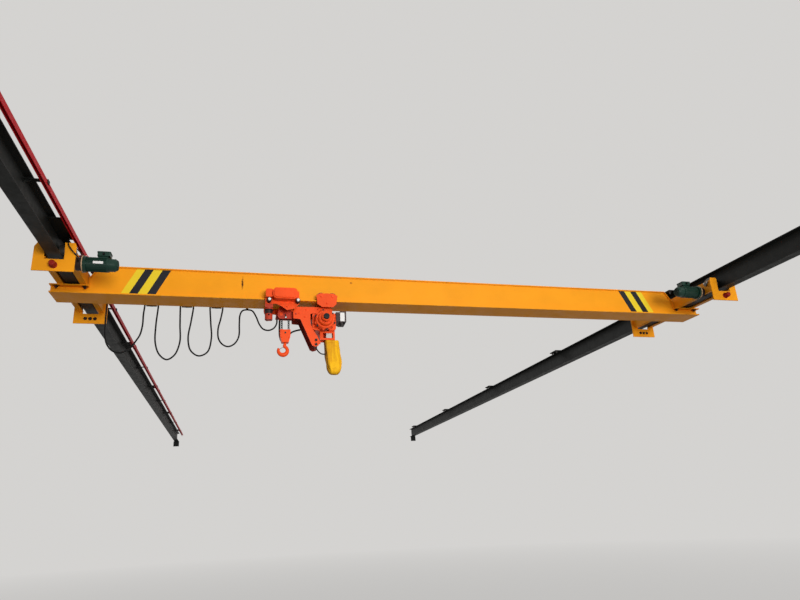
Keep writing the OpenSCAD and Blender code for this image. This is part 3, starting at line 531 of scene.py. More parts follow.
def bands(name, spans, material, mirror_at, depth):
    """Slanted strips of paint on the web's face, at one end or mirrored at the other."""
    sides = [(0, 1, 2, 3), (7, 6, 5, 4), (0, 4, 5, 1), (1, 5, 6, 2), (2, 6, 7, 3), (3, 7, 4, 0)]
    verts, faces = [], []
    for x, wide in spans:
        corners = ((x, BAND_BOTTOM), (x + wide, BAND_BOTTOM), (x + wide + BAND_LEAN, BAND_TOP),
                   (x + BAND_LEAN, BAND_TOP))
        at = len(verts)
        verts += [(mirror_at - px if mirror_at else px, y, z)
                  for y in (web_low.y - depth, web_low.y - 0.00005) for px, z in corners]
        faces += [tuple(at + k for k in (f[::-1] if mirror_at else f)) for f in sides]
    made = piece(name, verts, faces, material, smooth=False)
    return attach(made, "bridge")


band_yellow = paint("hazard_yellow", (0.86, 0.62, 0.02), 0.4, dust=0, patch=0.92)
band_black = paint("hazard_black", (0.012, 0.012, 0.016), 0.38, dust=0, patch=0.8)
for side, at in (("left", 0), ("right", gauge)):
    bands(f"{side}_yellow_bands", YELLOW_BANDS, band_yellow, at, BAND_PROUD * 0.6)
    bands(f"{side}_black_bands", BLACK_BANDS, band_black, at, BAND_PROUD)

# Fillet welds join the webs to the flanges along the whole span. They are laid by hand, so
# the bead swells and ripples a little.
WELD = 0.006
WELD_STEP = 0.012


def weld_bead(name, a, b, outward, seed):
    """A rippled fillet from a to b; outward gives the two faces' directions it fills."""
    a, b = Vector(a), Vector(b)
    count = max(2, int((b - a).length / WELD_STEP))
    first, second = (Vector(o) for o in outward)
    verts = []
    for i in range(count + 1):
        p = a.lerp(b, i / count)
        s = WELD * (1 + 0.14 * math.sin(2.1 * i + seed) + 0.1 * math.sin(0.37 * i + seed))
        if i in (0, count):
            s *= 0.4
        verts += [p, p + first * s, p + (first + second) * s * 0.62, p + second * s]
    made = piece(name, verts, ring_faces(count + 1, 4, ends=True), girder_paint)
    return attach(made, "bridge")


flange_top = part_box("girder_bottom_flange")[1].z
x_from, x_to = web_low.x + 0.004, web_high.x - 0.004
for side, s in (("front", -1), ("back", 1)):
    y = s * 0.100
    weld_bead(f"{side}_bottom_weld", (x_from, y, flange_top), (x_to, y, flange_top),
              ((0, s, 0), (0, 0, 1)), s)
    weld_bead(f"{side}_top_weld", (0.240, y, web_high.z), (gauge - 0.240, y, web_high.z),
              ((0, s, 0), (0, 0, -1)), 2 * s)

# End trucks: pressed channels between notched end plates, bolted to the girder's saddles.
# Wheels, gears and axles are machined steel, greased where the teeth run.
SADDLE_BOLT_X, SADDLE_BOLT_Y = (-0.134, 0.105), 0.130
BUFFER_Z = -0.3125
wheel_steel = steel("wheel_steel", (0.095, 0.088, 0.08), 0.46)
dress(wheel_steel, "truck_wheels", "truck_axles")
buffer_rubber = rubber("buffer_rubber", (0.27, 0.014, 0.008), 300.0)
dress(buffer_rubber, "truck_buffers")
dark_bolt = paint("bolt_black", (0.030, 0.014, 0.009), 0.45, dust=0, patch=0.6, chips=(0.10, 0.05, 0.03))
saddle_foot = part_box("girder_saddles")[0].z + 0.022
places = [(x if side == 0 else gauge - x, y, saddle_foot)
          for side in (0, 1) for x in SADDLE_BOLT_X for y in (-SADDLE_BOLT_Y, SADDLE_BOLT_Y)]
hex_heads("saddle_nuts", places, DOWNWARD, 0.0285, 0.0145, 0.0, dark_bolt, "bridge", stud=0.0095)
plate_low, plate_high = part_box("truck_end_plates")
for end, y, s in (("front", plate_low.y + 0.010, 1), ("back", plate_high.y - 0.010, -1)):
    places = [(x + dx, y, BUFFER_Z) for x in (0, gauge) for dx in (-0.046, 0, 0.046)]
    hex_heads(f"{end}_buffer_nuts", places, (0, s, 0), 0.017, 0.009, 0.002, dark_bolt, "bridge", stud=0.006)
keeper_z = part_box("truck_axles")[1].z - 0.008
for side, at in (("left", 0), ("right", gauge)):
    for way in (-1, 1):
        places = [(at + way * 0.128, y + dy, keeper_z) for y in (-0.674, 0.574) for dy in (-0.022, 0.022)]
        name = f"{side}_keeper_bolts_{'out' if way * (at - 1) > 0 else 'in'}"
        hex_heads(name, places, (way, 0, 0), 0.010, 0.006, 0.0015, zinc, "bridge")

# Travel drives: a finned motor in dark green enamel on a dark reducer with a pale flange.
# The fan cover ends in a wire grille, and the rating plate on the front is bare.
MOTOR_Y, MOTOR_Z = -0.5794, -0.215
MOTOR_FROM, FAN_END = 0.180, 0.450
FAN_R = 0.056
BOX_X, BOX_TOP = 0.338, -0.107
FLANGE_BOLT_R = 0.07105
GUARD_RINGS, GUARD_SPOKES, GUARD_WIRE = 5, 6, 0.0016


def tag(name, centre, way, up, wide, high, body):
    """A bare white plate, 1 mm thick, with a raised edge and a rivet in each corner."""
    way, up = Vector(way), Vector(up)
    side = up.cross(way)
    centre = Vector(centre)
    outline = []
    corner = min(wide, high) * 0.12
    for sx, sy, a0 in ((1, 1, 0), (-1, 1, 90), (-1, -1, 180), (1, -1, 270)):
        for k in range(5):
            a = math.radians(a0 + 22.5 * k)
            outline.append((sx * (wide / 2 - corner) + corner * math.cos(a),
                            sy * (high / 2 - corner) + corner * math.sin(a)))
    verts = []
    rings = ((1.0, 0.0), (1.0, 0.0010), (0.985, 0.0013), (0.955, 0.0013), (0.945, 0.0009))
    for scale, out in rings:
        verts += [centre + side * (x * scale) + up * (y * scale) + way * out for x, y in outline]
    faces = ring_faces(len(rings), len(outline), ends=True)
    made = piece(name, verts, faces, plate_white, smooth=False)
    made.data.materials.append(zinc)
    built = bmesh.new()
    built.from_mesh(made.data)
    turn = Matrix((side, up, way)).transposed().to_4x4() @ Matrix.Diagonal((1, 1, 0.5, 1))
    for sx, sy in ((-1, -1), (-1, 1), (1, -1), (1, 1)):
        at = centre + side * (sx * wide * 0.43) + up * (sy * high * 0.36) + way * 0.0012
        dome = bmesh.ops.create_uvsphere(built, u_segments=10, v_segments=6, radius=min(wide, high) * 0.045,
                                         matrix=Matrix.Translation(at) @ turn)
        for f in {f for v in dome["verts"] for f in v.link_faces}:
            f.material_index = 1
    built.to_mesh(made.data)
    built.free()
    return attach(made, body)


def grille(name, centre, way, radius, body, material):
    """A fan guard: rings and spokes of wire over a black disc, painted shade for the hollow behind."""
    turn = Matrix.Translation(centre) @ facing(way)
    lines = []
    for k in range(GUARD_RINGS):
        points = circle(radius * (k + 1) / GUARD_RINGS, 32, GUARD_WIRE * 1.25)
        lines.append(points + points[:1])
    for out in circle(radius, GUARD_SPOKES):
        lines.append([out * share + Vector((0, 0, GUARD_WIRE * 2)) for share in (0.2, 0.6, 1.0)])
    verts, faces = [], []
    for line in lines:
        path = [turn @ p for p in line]
        v, f = swept(path, [GUARD_WIRE] * len(path), 6, way)
        faces += [tuple(len(verts) + i for i in q) for q in f]
        verts += v
    made = piece(name, verts, faces, material)
    discs = [turn @ p for h in (-0.0005, 0.0006) for p in circle(radius * 0.98, 40, h)]
    hollow = piece(f"{name}_hollow", discs, ring_faces(2, 40, ends=True), shade_disc_black)
    for p in (made, hollow):
        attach(p, body)


def gland(name, at, way, size, body):
    """A cable gland: hexagon, knurled nut and a short collar, turned about way."""
    built = bmesh.new()
    for sides, *measures in ((6, 0.60, 0.60, 0.0, 0.35), (20, 0.50, 0.50, 0.35, 0.70),
                             (20, 0.50, 0.36, 0.70, 0.95), (20, 0.36, 0.33, 0.95, 1.10)):
        add_cone(built, Matrix.Translation(at) @ facing(way), sides, *(m * size for m in measures))
    made = finished(built, name, carrier_black)
    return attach(made, body)


motor_green = paint("motor_green", (0.0050, 0.032, 0.020), 0.34, dust=0.06, chips=(0.03, 0.04, 0.03),
                    gloss=0.3)
dress(motor_green, "left_drive_motor", "right_drive_motor", "terminal_boxes")
cast_pale = paint("reducer_pale", (0.50, 0.33, 0.19), 0.55, dust=0.1, chips=(0.25, 0.16, 0.10))
tree, bsdf, pale = opened(cast_pale)
apart = maths(tree, "ABSOLUTE", maths(tree, "SUBTRACT", along(tree, "X"), gauge / 2))
edge = gauge / 2 - MOTOR_FROM + 0.009
is_body = band(tree, apart, edge, edge + 0.0005)
coat(tree, bsdf, is_body, pale, (0.022, 0.012, 0.010))
dress(cast_pale, "drive_reducers")
plate_white = paint("plate_white", (0.80, 0.79, 0.76), 0.3, dust=0, patch=0.96)
# A black disc behind each fan guard's wires is painted shade for the hollow.
shade_disc_black = rubber("shade_disc_black", (0.006, 0.006, 0.007), 200.0)
for side, at, s in (("left", 0, 1), ("right", gauge, -1)):
    grille(f"{side}_fan_guard", (at + s * FAN_END, MOTOR_Y, MOTOR_Z), (s, 0, 0), FAN_R * 0.72, "bridge",
           motor_green)
    angles = [math.radians(67.5 + 90 * k) for k in range(4)]
    places = [(at + s * MOTOR_FROM, MOTOR_Y + FLANGE_BOLT_R * math.cos(a),
               MOTOR_Z + FLANGE_BOLT_R * math.sin(a)) for a in angles]
    hex_heads(f"{side}_flange_bolts", places, (s, 0, 0), 0.008, 0.005, 0.001, dark_bolt, "bridge")
    lid = [(at + s * BOX_X + dx, MOTOR_Y + dy, BOX_TOP) for dx in (-0.042, 0.042) for dy in (-0.036, 0.036)]
    hex_heads(f"{side}_box_screws", lid, UPWARD, 0.006, 0.003, 0.001, zinc, "bridge")
    gland(f"{side}_box_gland", (at + s * BOX_X, MOTOR_Y - 0.046, BOX_TOP - 0.024), FORWARD, 0.018, "bridge")
tag("left_motor_plate", (0.303, MOTOR_Y - 0.0655, MOTOR_Z - 0.004), FORWARD, UPWARD, 0.080, 0.022,
    "bridge")

# The collector's arm is red moulded plastic. Its thin lead lies over the end plate's top,
# hangs down in front of it in an arc and ends in a gland beside the left motor.
COLLECTOR_LEAD_D = 0.010
COLLECTOR_ROUTE = [(143, -554, -106), (142, -578, -107), (135, -630, -109), (121, -690, -106),
                   (108, -745, -102), (101, -775, -101), (98, -790, -107), (98, -797, -123),
                   (105, -797, -145), (119, -796, -168), (138, -794, -192), (153, -788, -208),
                   (164, -774, -219), (168, -754, -224), (165, -730, -222), (157, -706, -217),
                   (152, -686, -215), (151, -672, -215)]
COLLECTOR_GLAND = (0.151, -0.655, -0.215)
collector_red = rubber("collector_red", (0.14, 0.010, 0.016), 300.0)
dress(collector_red, "current_collector")
gland("collector_gland", COLLECTOR_GLAND, FORWARD, 0.016, "bridge")
path = smooth_route(metres(COLLECTOR_ROUTE), Vector((0.143, -0.514, -0.106)), COLLECTOR_GLAND)
collector_lead = lead("collector_lead", path, COLLECTOR_LEAD_D, cable_rubber)
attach(collector_lead, "bridge")

# The festoon line is a drawn steel rod on two welded brackets. The cable carriers that
# roll along it and the cable's clamp are moulded black plastic.
line_zinc = steel("line_zinc", (0.33, 0.29, 0.22), 0.45)
dress(line_zinc, "festoon_line")
gland("cable_entry", (LOOPS[0][0][0] / 1000, LINE_Y, -0.227), DOWNWARD, 0.022, "bridge")
dress(carrier_black, "cable_carrier_1", "cable_carrier_2", "cable_carrier_3", "cable_clamp")

# Both trolleys and the hoist are sprayed in one orange-red enamel. The trolley drive has
# a deep cover with a bolted rim; the buffers are black, and a white dome on each end is a painted highlight.
HOIST_RED = (0.93, 0.088, 0.012)
DRIVE_X, DRIVE_Z, DRIVE_FRONT = 1.913, -0.2897, -0.275
TROLLEY_FACE = -0.171
hoist_paint = paint("hoist_orange", HOIST_RED, 0.36, dust=0.06, chips=(0.22, 0.03, 0.01), gloss=0.12)
dress(hoist_paint, "driven_trolley_plates", "plain_trolley_plates", "trolley_drive",
      "hoist_gear_cover", "hoist_motor", "hook_block", "trolley_pins", "chain_guide")
# The sprocket bracket is the hoist's red made darker: painted shade.
bracket_red_painted_shade = paint("bracket_red_painted_shade", (0.66, 0.052, 0.020), 0.42, dust=0.05, patch=0.5,
                    chips=(0.06, 0.02, 0.01))
dress(bracket_red_painted_shade, "sprocket_bracket")
# The travel motor is the hoist's red made darker: painted shade. It is near-black between its flange and its
# low end.
travel_shaded_paint = paint("travel_motor_shaded_red", (0.62, 0.055, 0.022), 0.40, dust=0, patch=0.6,
                     chips=(0.06, 0.02, 0.01))
tree, bsdf, red = opened(travel_shaded_paint)
below_flange = band(tree, along(tree, "Z"), -0.4195, -0.4190)
upper = blend_colour(tree, below_flange, (0.020, 0.010, 0.010), red)
low_end = band(tree, along(tree, "Z"), -0.4700, -0.4620)
coat(tree, bsdf, low_end, red, upper)
dress(travel_shaded_paint, "travel_motor")
trolley_steel = steel("trolley_wheel_steel", (0.055, 0.040, 0.034), 0.5)
tree, bsdf, bare = opened(trolley_steel)
sideways = maths(tree, "ABSOLUTE", along(tree, "Y"))
painted_end = band(tree, sideways, 0.1705, 0.1710)
coat(tree, bsdf, painted_end, bare, HOIST_RED)
tree.links.new(band(tree, sideways, 0.1705, 0.1710, 0.85, 0.0), bsdf.inputs["Metallic"])
dress(trolley_steel, "trolley_wheels")
# The frame's faces between its two plates are dark red: painted shade.
shaded_frame_paint = hoist_paint.copy()
shaded_frame_paint.name = "hoist_frame_painted_shade"
tree, bsdf, plain_red = opened(shaded_frame_paint)
shade_between_plates = band(tree, maths(tree, "ABSOLUTE", along(tree, "Y")), 0.0945, 0.0975, 1.0, 0.0)
coat(tree, bsdf, shade_between_plates, plain_red, (0.16, 0.014, 0.007))
dress(shaded_frame_paint, "hoist_frame")
stud_black = rubber("stud_black", (0.012, 0.012, 0.013), 300.0)
dress(stud_black, "trolley_buffers")
# White for the painted highlight on the buffers' ends.
glint_white = rubber("glint_white", (0.82, 0.80, 0.77), 300.0)
TRAVEL_X, TRAVEL_Y = 1.762, -0.118
STUDS = ((1.762, -0.348), (2.037, -0.348))


def turned(name, axis_from, way, profile, material, body, sides=40):
    """A turned piece: profile is (radius, distance along way) pairs from back to front."""
    turn = Matrix.Translation(axis_from) @ facing(way)
    verts = [turn @ p for r, h in profile for p in circle(r, sides, h)]
    made = piece(name, verts, ring_faces(len(profile), sides, ends=True), material)
    made.data.set_sharp_from_angle(angle=math.radians(35))
    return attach(made, body)


# A white dome on each buffer's end is a painted highlight on the black rubber.
for i, (x, z) in enumerate(STUDS):
    turned(f"buffer_painted_glint_{i + 1}", (x, -0.2332, z), FORWARD,
           ((0.0132, 0), (0.0148, 0.0008), (0.0152, 0.006), (0.0135, 0.0100), (0.008, 0.0124),
            (0.002, 0.0130)), glint_white, "trolley")
rim = [(DRIVE_X + 0.094 * math.cos(a), DRIVE_FRONT, DRIVE_Z + 0.034 * math.sin(a))
       for a in (2 * math.pi * (k + 0.5) / 10 for k in range(10))]
hex_heads("drive_cover_screws", rim, FORWARD, 0.007, 0.004, 0.001, hoist_paint, "trolley",
          slot="hoist_orange")
places = [(1.973, TROLLEY_FACE, -0.360), (1.880, TROLLEY_FACE, -0.372), (1.935, TROLLEY_FACE, -0.398)]
hex_heads("plate_bolts", places, FORWARD, 0.013, 0.008, 0.002, hoist_paint, "trolley", slot="hoist_orange")
turned("idler_pin_collar", (1.888, -0.0322, -0.432), FORWARD,
       ((0.0150, 0), (0.0165, 0.0008), (0.0165, 0.0050), (0.0100, 0.0060), (0.0100, 0.0042),
        (0.0030, 0.0038)), hoist_paint, "trolley")
turned("chain_end_pin", (1.934, -0.0322, -0.462), FORWARD,
       ((0.0105, 0), (0.0115, 0.0008), (0.0115, 0.0090), (0.0085, 0.0110), (0.0020, 0.0115)),
       zinc, "trolley")
turned("travel_motor_band", (TRAVEL_X, TRAVEL_Y, -0.432), UPWARD,
       ((0.0368, 0), (0.0398, 0.001), (0.0398, 0.009), (0.0368, 0.010)), stud_black, "trolley")
places = [(TRAVEL_X + 0.030 * math.cos(a), TRAVEL_Y + 0.030 * math.sin(a), -0.524)
          for a in (0.5, 2.07, 3.64, 5.21)]
hex_heads("travel_motor_screws", places, DOWNWARD, 0.007, 0.004, 0.001, dark_bolt, "trolley")
gland("travel_motor_gland", (TRAVEL_X, TRAVEL_Y - 0.036, -0.480), FORWARD, 0.014, "trolley")

# Hoist: cranked frame plates, a stepped gear cover with a black breather cap, and a dark
# control box whose front carries a bare white plate.
HOIST_X, HOIST_Z, COVER_BACK = 2.310, -0.515, -0.100
box_brown = paint("control_brown", (0.050, 0.030, 0.028), 0.45, dust=0.1)
dress(box_brown, "control_box")
turned("breather_cap", (HOIST_X, COVER_BACK - 0.1575, HOIST_Z), FORWARD,
       ((0.027, 0), (0.029, 0.001), (0.029, 0.016), (0.026, 0.021), (0.010, 0.0225), (0.002, 0.0228)),
       stud_black, "trolley")
turned("cover_seam", (HOIST_X, COVER_BACK - 0.030, HOIST_Z), FORWARD,
       ((0.0955, 0), (0.0985, 0.0006), (0.0985, 0.0058), (0.0955, 0.0064)), hoist_paint, "trolley",
       sides=64)
lugs = [(HOIST_X + 0.096 * math.cos(a), COVER_BACK - 0.056, HOIST_Z - 0.096 * math.sin(a))
        for a in (math.radians(k * 60 + 20) for k in range(6))]
steps = [(HOIST_X + 0.055 * math.cos(a), COVER_BACK - 0.1105, HOIST_Z + 0.055 * math.sin(a))
         for a in (2 * math.pi * (k + 0.25) / 6 for k in range(6))]
on_frame = [(x, -0.100, z) for x, z in ((2.116, -0.472), (2.060, -0.440), (2.250, -0.392), (2.130, -0.398))]
on_foot = [(2.226, -0.108, -0.713), (2.226, -0.108, -0.756)]
for name, places, measures, finish, slot in (
        ("cover_lug_bolts", lugs, (0.012, 0.008, 0.0015), dark_bolt, "wheel_steel"),
        ("cover_step_bolts", steps, (0.009, 0.006, 0.001), hoist_paint, "hoist_orange"),
        ("frame_bolts", on_frame, (0.013, 0.008, 0.002), hoist_paint, "hoist_orange"),
        ("foot_bolts", on_foot, (0.013, 0.007, 0.0015), dark_bolt, "wheel_steel")):
    hex_heads(name, places, FORWARD, *measures, finish, "trolley", slot=slot)
tag("box_plate", (2.491, -0.1183, -0.470), FORWARD, UPWARD, 0.046, 0.092, "trolley")
for k, x in enumerate((2.482, 2.512)):
    gland(f"box_gland_{k + 1}", (x, -0.030 - 0.05 * k, -0.521), DOWNWARD, 0.018, "trolley")
grille("hoist_fan_guard", (HOIST_X, 0.278, HOIST_Z), (0, 1, 0), 0.068, "trolley", hoist_paint)
tag("hoist_motor_plate", (HOIST_X + 0.084, 0.20, HOIST_Z + 0.049), (0.866, 0, 0.5), (-0.5, 0, 0.866),
    0.05, 0.03, "trolley")

# Under the hoist a welded guide leads the slack chain to the bag. A pale nylon block shows
# in its window.
pale_nylon = rubber("pale_nylon", (0.55, 0.50, 0.46), 200.0)
GUIDE_X, GUIDE_Z = 2.362, -0.652
built = bmesh.new()
shape = [(-0.026, 0.026), (0.026, 0.026), (0.030, 0.006), (0.030, -0.020), (0.018, -0.028), (-0.018, -0.028),
         (-0.030, -0.020), (-0.030, 0.006)]
corners = [built.verts.new((GUIDE_X + x * s, y, GUIDE_Z + z * s))
           for s, y in ((0.9, -0.0535), (1.0, -0.051), (1.0, -0.034), (0.9, -0.0315)) for x, z in shape]
for face in ring_faces(4, len(shape), ends=True):
    built.faces.new([corners[k] for k in face])
bmesh.ops.recalc_face_normals(built, faces=built.faces)
guide_block = finished(built, "guide_block", pale_nylon)
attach(guide_block, "trolley")

# The load chain is bent and welded round steel, each link turned a quarter from the next.
# It is laid out at full length below the block's lowest point, and the spare links lie
# drawn together between the bracket's cheeks while the block is up.
LINK_PITCH, LINK_WIRE, LINK_BEND = 0.021, 0.0067, 0.0084
LINK_ARC, LINK_SIDES = 8, 8
FALLS_X = (1.897, 1.965)
BLOCK_SEAT, TOP_SEAT, FULL_DROP = -0.6265, -0.4375, 2.8
SPARE_TOP, SPARE_FOOT = -0.425, -0.474
oiled = steel("oiled_steel", (0.032, 0.031, 0.030), 0.40, (0.014, 0.012, 0.010))
dress(oiled, "idler_sprocket", "block_sprocket", "chain_run", "chain_falls")


def link_ring(turned_by, centre):
    """One link's vertices, standing upright and turned about its own axis."""
    half = (LINK_PITCH + LINK_WIRE) / 2 - LINK_BEND
    bend = [(LINK_BEND * math.cos(a), half + LINK_BEND * math.sin(a))
            for a in (math.pi * k / (LINK_ARC - 1) for k in range(LINK_ARC))]
    ca, sa = math.cos(turned_by), math.sin(turned_by)
    rows = []
    for u, w in bend + [(u, -w) for u, w in bend[::-1]]:
        out = Vector((u, w - min(max(w, -half), half))).normalized()
        for k in range(LINK_SIDES):
            b = 2 * math.pi * k / LINK_SIDES
            r, t = LINK_WIRE / 2 * math.cos(b), LINK_WIRE / 2 * math.sin(b)
            x, y, z = u + out.x * r, t, w + out.y * r
            rows.append((centre[0] + x * ca - y * sa, centre[1] + x * sa + y * ca, centre[2] + z))
    return rows


chain_verts, chain_faces = [], []
count = int(round((TOP_SEAT + FULL_DROP - BLOCK_SEAT) / LINK_PITCH))
for x in FALLS_X:
    for k in range(count):
        centre = (x, 0, BLOCK_SEAT - FULL_DROP + (k + 0.5) * LINK_PITCH)
        rows = link_ring(math.pi / 4 * (1 if k % 2 else -1), centre)
        at = len(chain_verts)
        chain_verts += rows
        chain_faces += [tuple(at + c % len(rows) for c in f)
                        for f in ring_faces(2 * LINK_ARC + 1, LINK_SIDES)]
rest = np.linspace(TOP_SEAT + 0.1, BLOCK_SEAT - 0.1, 20001)
t = np.clip((rest - SPARE_TOP) / (SPARE_FOOT - SPARE_TOP), 0, 1)
lowered = rest - FULL_DROP * t * t * (3 - 2 * t)
chain_verts = np.array(chain_verts)
chain_verts[:, 2] = np.interp(-chain_verts[:, 2], -lowered, rest)
load_chain = piece("load_chain", [tuple(map(float, v)) for v in chain_verts], chain_faces, oiled)
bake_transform(load_chain)
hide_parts("chain_falls")

# The hook is a drop forging: a round shank, a bowl that swells towards its foot and a
# blunt tip, painted with the block. A sprung sheet-steel latch closes its mouth.
BOWL_X, BOWL_Z, BOWL_R = 1.910, -0.799, 0.044
neck = [Vector((1.931, 0, z)) for z in (-0.668, -0.690, -0.712, -0.726)]
neck += [Vector((1.930, 0, -0.738)), Vector((1.926, 0, -0.748)), Vector((1.925, 0, -0.7575))]
bowl = [Vector((BOWL_X + BOWL_R * math.cos(math.radians(a)), 0, BOWL_Z + BOWL_R * math.sin(math.radians(a))))
        for a in range(56, -212, -8)]
hook_path = neck + bowl
neck_r = [0.0120, 0.0120, 0.0120, 0.0135, 0.0155, 0.0165, 0.0168]
bowl_r = []
for a in range(56, -212, -8):
    swell = math.exp(-((a + 75) / 70) ** 2)
    tip = min(1.0, (a + 208 + 10) / 60)
    bowl_r.append((0.0155 + 0.0060 * swell) * (0.62 + 0.38 * max(0.0, tip) ** 0.5))
verts, faces = swept(hook_path, neck_r + bowl_r, 24)
hook = piece("hook_forging", verts, faces, hoist_paint)
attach(hook, "hook")
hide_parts("hook")
nut_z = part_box("hook")[1].z
turned("hook_nut", (1.931, 0, nut_z - 0.012), UPWARD,
       ((0.0185, 0), (0.020, 0.001), (0.020, 0.011), (0.0185, 0.012)), dark_bolt, "hook",
       sides=24)
latch_line = [(1.934, -0.757), (1.921, -0.758), (1.905, -0.768), (1.888, -0.778), (1.881, -0.786)]
verts = [Vector((x, y, z + dz)) for x, z in latch_line for y, dz in
         ((-0.008, 0.0012), (0.008, 0.0012), (0.008, -0.0012), (-0.008, -0.0012))]
latch = piece("hook_latch", verts, ring_faces(len(latch_line), 4, ends=True), line_zinc)
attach(latch, "hook")
places = [(1.931 + s * dx, -0.034, z) for dx, z in ((0.040, -0.604), (0.036, -0.672)) for s in (-1, 1)]
hex_heads("block_bolts", places, FORWARD, 0.011, 0.006, 0.0015, hoist_paint, "hook_block",
          slot="hoist_orange")

# The chain bag is coated amber cloth with a hemmed mouth. It hangs from the guide, sags
# round the slack chain in its foot and creases where the cloth gathers.
BAG_RINGS = (
    (-0.7005, 2.3180, 2.4640, 0.058), (-0.712, 2.3185, 2.4645, 0.059), (-0.722, 2.3195, 2.4650, 0.057),
    (-0.760, 2.3225, 2.4690, 0.055), (-0.805, 2.3260, 2.4730, 0.055), (-0.850, 2.3295, 2.4775, 0.057),
    (-0.895, 2.3330, 2.4815, 0.060), (-0.935, 2.3370, 2.4840, 0.062), (-0.965, 2.3415, 2.4835, 0.061),
    (-0.990, 2.3475, 2.4800, 0.058), (-1.010, 2.3560, 2.4740, 0.053), (-1.026, 2.3665, 2.4650, 0.045),
    (-1.036, 2.3790, 2.4540, 0.034), (-1.040, 2.3920, 2.4400, 0.020))
BAG_Y = -0.008
CLOTH_T = 0.0022
bag_cloth, tree, bsdf = shader("bag_cloth", (0.95, 0.50, 0.012), 0.6, gloss=0.08)
weave = new_node(tree, "ShaderNodeTexWave", Scale=260.0, Distortion=1.2)
tree.links.new(place(tree), weave.inputs["Vector"])
worn = band(tree, speckle(tree, 16.0, 6.0), 0.50, 0.78)
soiled = blend_colour(tree, worn, (0.95, 0.50, 0.012), (0.72, 0.30, 0.010))
streaks = band(tree, speckle(tree, 14.0, 5.0, 0.6, (1.0, 1.0, 0.12)), 0.5, 0.75)
soiled = blend_colour(tree, streaks, soiled, (0.50, 0.17, 0.008))
# The bag darkens towards its left side: painted shade.
across = new_node(tree, "ShaderNodeVectorMath", "DOT_PRODUCT")
across.inputs[1].default_value = (1.0, 0.0, 0.10)
tree.links.new(place(tree), across.inputs[0])
painted_shade_left = band(tree, across.outputs["Value"], 2.2490, 2.2760, 0.75, 0.0)
coat(tree, bsdf, painted_shade_left, soiled, (0.30, 0.11, 0.014))
relief(tree, bsdf, weave.outputs["Fac"], 0.0003, 0.5)


def bag_point(z, left, right, depth, angle, inset):
    """A point of the bag's wall: a rounded box with folds that run down and fade at the hem."""
    c, s = math.cos(angle), math.sin(angle)
    wide, deep = (right - left) / 2 - inset, depth - inset
    power = 0.55
    x = wide * math.copysign(abs(c) ** power, c)
    y = deep * math.copysign(abs(s) ** power, s)
    down = min(1.0, max(0.0, (-0.715 - z) / 0.10))
    foot = min(1.0, max(0.0, (z + 1.04) / 0.06))
    fold = 0.0034 * math.sin(7 * angle + 9 * z) + 0.0024 * math.sin(13 * angle - 14 * z + 1.3)
    fold += 0.0026 * math.sin(38 * z + 3 * angle) * down
    grow = 1 + fold * down * foot / max(wide, 0.02)
    sag = 0.0015 * math.sin(5 * angle) * (1 - down)
    return Vector(((left + right) / 2 + x * grow, BAG_Y + y * grow, z + sag))


def bag_between(f):
    """The ring at a share of the way down, with smooth steps between the rings given."""
    i = min(int(f), len(BAG_RINGS) - 2)
    a, b = BAG_RINGS[i], BAG_RINGS[i + 1]
    return [p + (q - p) * (f - i) for p, q in zip(a, b)]


around, per = 72, 4
angles = [2 * math.pi * k / around for k in range(around)]
levels = [k / per for k in range((len(BAG_RINGS) - 1) * per + 1)]
verts = [bag_point(*bag_between(f), a, 0.0) for f in levels for a in angles]
inner = [f for f in levels if f <= 7]
verts += [bag_point(*bag_between(f), a, CLOTH_T) for f in inner for a in angles]
faces = ring_faces(len(levels), around)
faces.append(tuple((len(levels) - 1) * around + k for k in range(around)))
at = len(levels) * around
faces += [f[::-1] for f in ring_faces(len(inner), around, at)]
faces += [(at + k, at + (k + 1) % around, (k + 1) % around, k) for k in range(around)]
faces.append(tuple(at + (len(inner) - 1) * around + k for k in range(around - 1, -1, -1)))
bag = piece("chain_bag_cloth", verts, faces, bag_cloth)
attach(bag, "trolley")
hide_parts("chain_bag")
verts = []
for z, grow in ((-0.719, 0.0004), (-0.7195, 0.0014), (-0.7225, 0.0018), (-0.7255, 0.0014), (-0.726, 0.0004)):
    _, left, right, depth = bag_between(1 + (-0.712 - z) / 0.010)
    verts += [bag_point(z, left, right, depth, a, -grow) for a in angles]
faces = ring_faces(5, around)
faces += [(k, (k + 1) % around, 4 * around + (k + 1) % around, 4 * around + k)[::-1] for k in range(around)]
hem = piece("bag_hem", verts, faces, bag_cloth)
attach(hem, "trolley")

# Floor, backdrop and soft light of a plain studio. The backdrop is the world's pale colour,
# which gloss and glass show too, and the floor fades into it with distance. A broad level
# lamp lights the front, and two weak soft suns shape the tops and the back.
FLOOR_Z, FLOOR_REACH = -3.95, 60.0
BACKDROP = (0.66, 0.65, 0.635)
SKY = (0.90, 0.95, 1.0)
SKY_LEVEL = 0.30
LAMP_AT, LAMP_AIM = Vector((5.2, -14.0, -1.7)), Vector((3.3, 0, -0.3))
floor_mat, tree, bsdf = shader("floor", (0.33, 0.32, 0.305), 0.9, gloss=0.0)


def seen_directly(tree):
    """1 where the camera, a reflection or glass looks at the surface, 0 where light bounces."""
    ray = new_node(tree, "ShaderNodeLightPath")
    seen = ray.outputs["Is Camera Ray"]
    for other in ("Is Glossy Ray", "Is Transmission Ray"):
        seen = maths(tree, "MAXIMUM", seen, ray.outputs[other])
    return seen


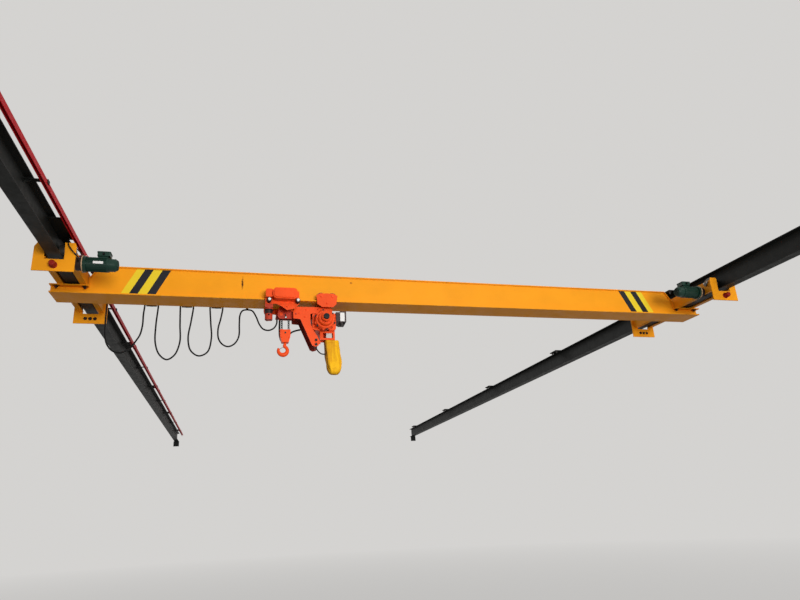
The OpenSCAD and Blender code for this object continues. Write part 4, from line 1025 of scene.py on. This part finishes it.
def shade_mix(tree, factor, first, second, output):
    """Shows the second shader in place of the first as far as factor says."""
    mix = new_node(tree, "ShaderNodeMixShader")
    for i, source in enumerate((factor, first.outputs[0], second.outputs[0])):
        tree.links.new(source, mix.inputs[i])
    tree.links.new(mix.outputs[0], tree.nodes[output].inputs["Surface"])


glow = new_node(tree, "ShaderNodeEmission", Color=(*BACKDROP, 1))
away = new_node(tree, "ShaderNodeVectorMath", "LENGTH")
tree.links.new(place(tree), away.inputs[0])
faded = band(tree, away.outputs["Value"], 6.0, 26.0, 0.72, 1.0)
shade_mix(tree, maths(tree, "MULTIPLY", seen_directly(tree), faded), bsdf, glow, "Material Output")
corners = [(x * FLOOR_REACH, y * FLOOR_REACH, FLOOR_Z) for x, y in ((-1, -1), (1, -1), (1, 1), (-1, 1))]
floor = piece("floor", corners, [(0, 1, 2, 3)], floor_mat, smooth=False)
world = bpy.data.worlds.new("studio")
bpy.context.scene.world = world
world.use_nodes = True
tree = world.node_tree
sky = tree.nodes["Background"]
sky.inputs["Color"].default_value = (*SKY, 1)
sky.inputs["Strength"].default_value = SKY_LEVEL
shown = new_node(tree, "ShaderNodeBackground", Color=(*BACKDROP, 1))
shade_mix(tree, seen_directly(tree), sky, shown, "World Output")


def soft_sun(name, azimuth, elevation, level, width, tint=(1, 1, 1)):
    """A sun from azimuth, in degrees right of the front, at a level of irradiance."""
    a, e = math.radians(azimuth), math.radians(elevation)
    towards = Vector((math.sin(a) * math.cos(e), -math.cos(a) * math.cos(e), math.sin(e)))
    data = bpy.data.lights.new(name, "SUN")
    data.energy = level
    data.angle = math.radians(width)
    data.color = tint
    stand(name, data).rotation_euler = towards.to_track_quat("Z", "Y").to_euler()


soft_sun("high_sun", 20, 30, 0.55, 24, (1.0, 0.985, 0.96))
soft_sun("back_sun", 205, 35, 0.7, 24)
front_data = bpy.data.lights.new("front_lamp", "AREA")
front_data.shape = "RECTANGLE"
front_data.size, front_data.size_y = 6.0, 4.0
front_data.energy = 370
front_data.spread = math.radians(90)
front_lamp = stand("front_lamp", front_data)
front_lamp.location = LAMP_AT
front_lamp.visible_camera = False
front_lamp.rotation_euler = (LAMP_AT - LAMP_AIM).to_track_quat("Z", "Y").to_euler()
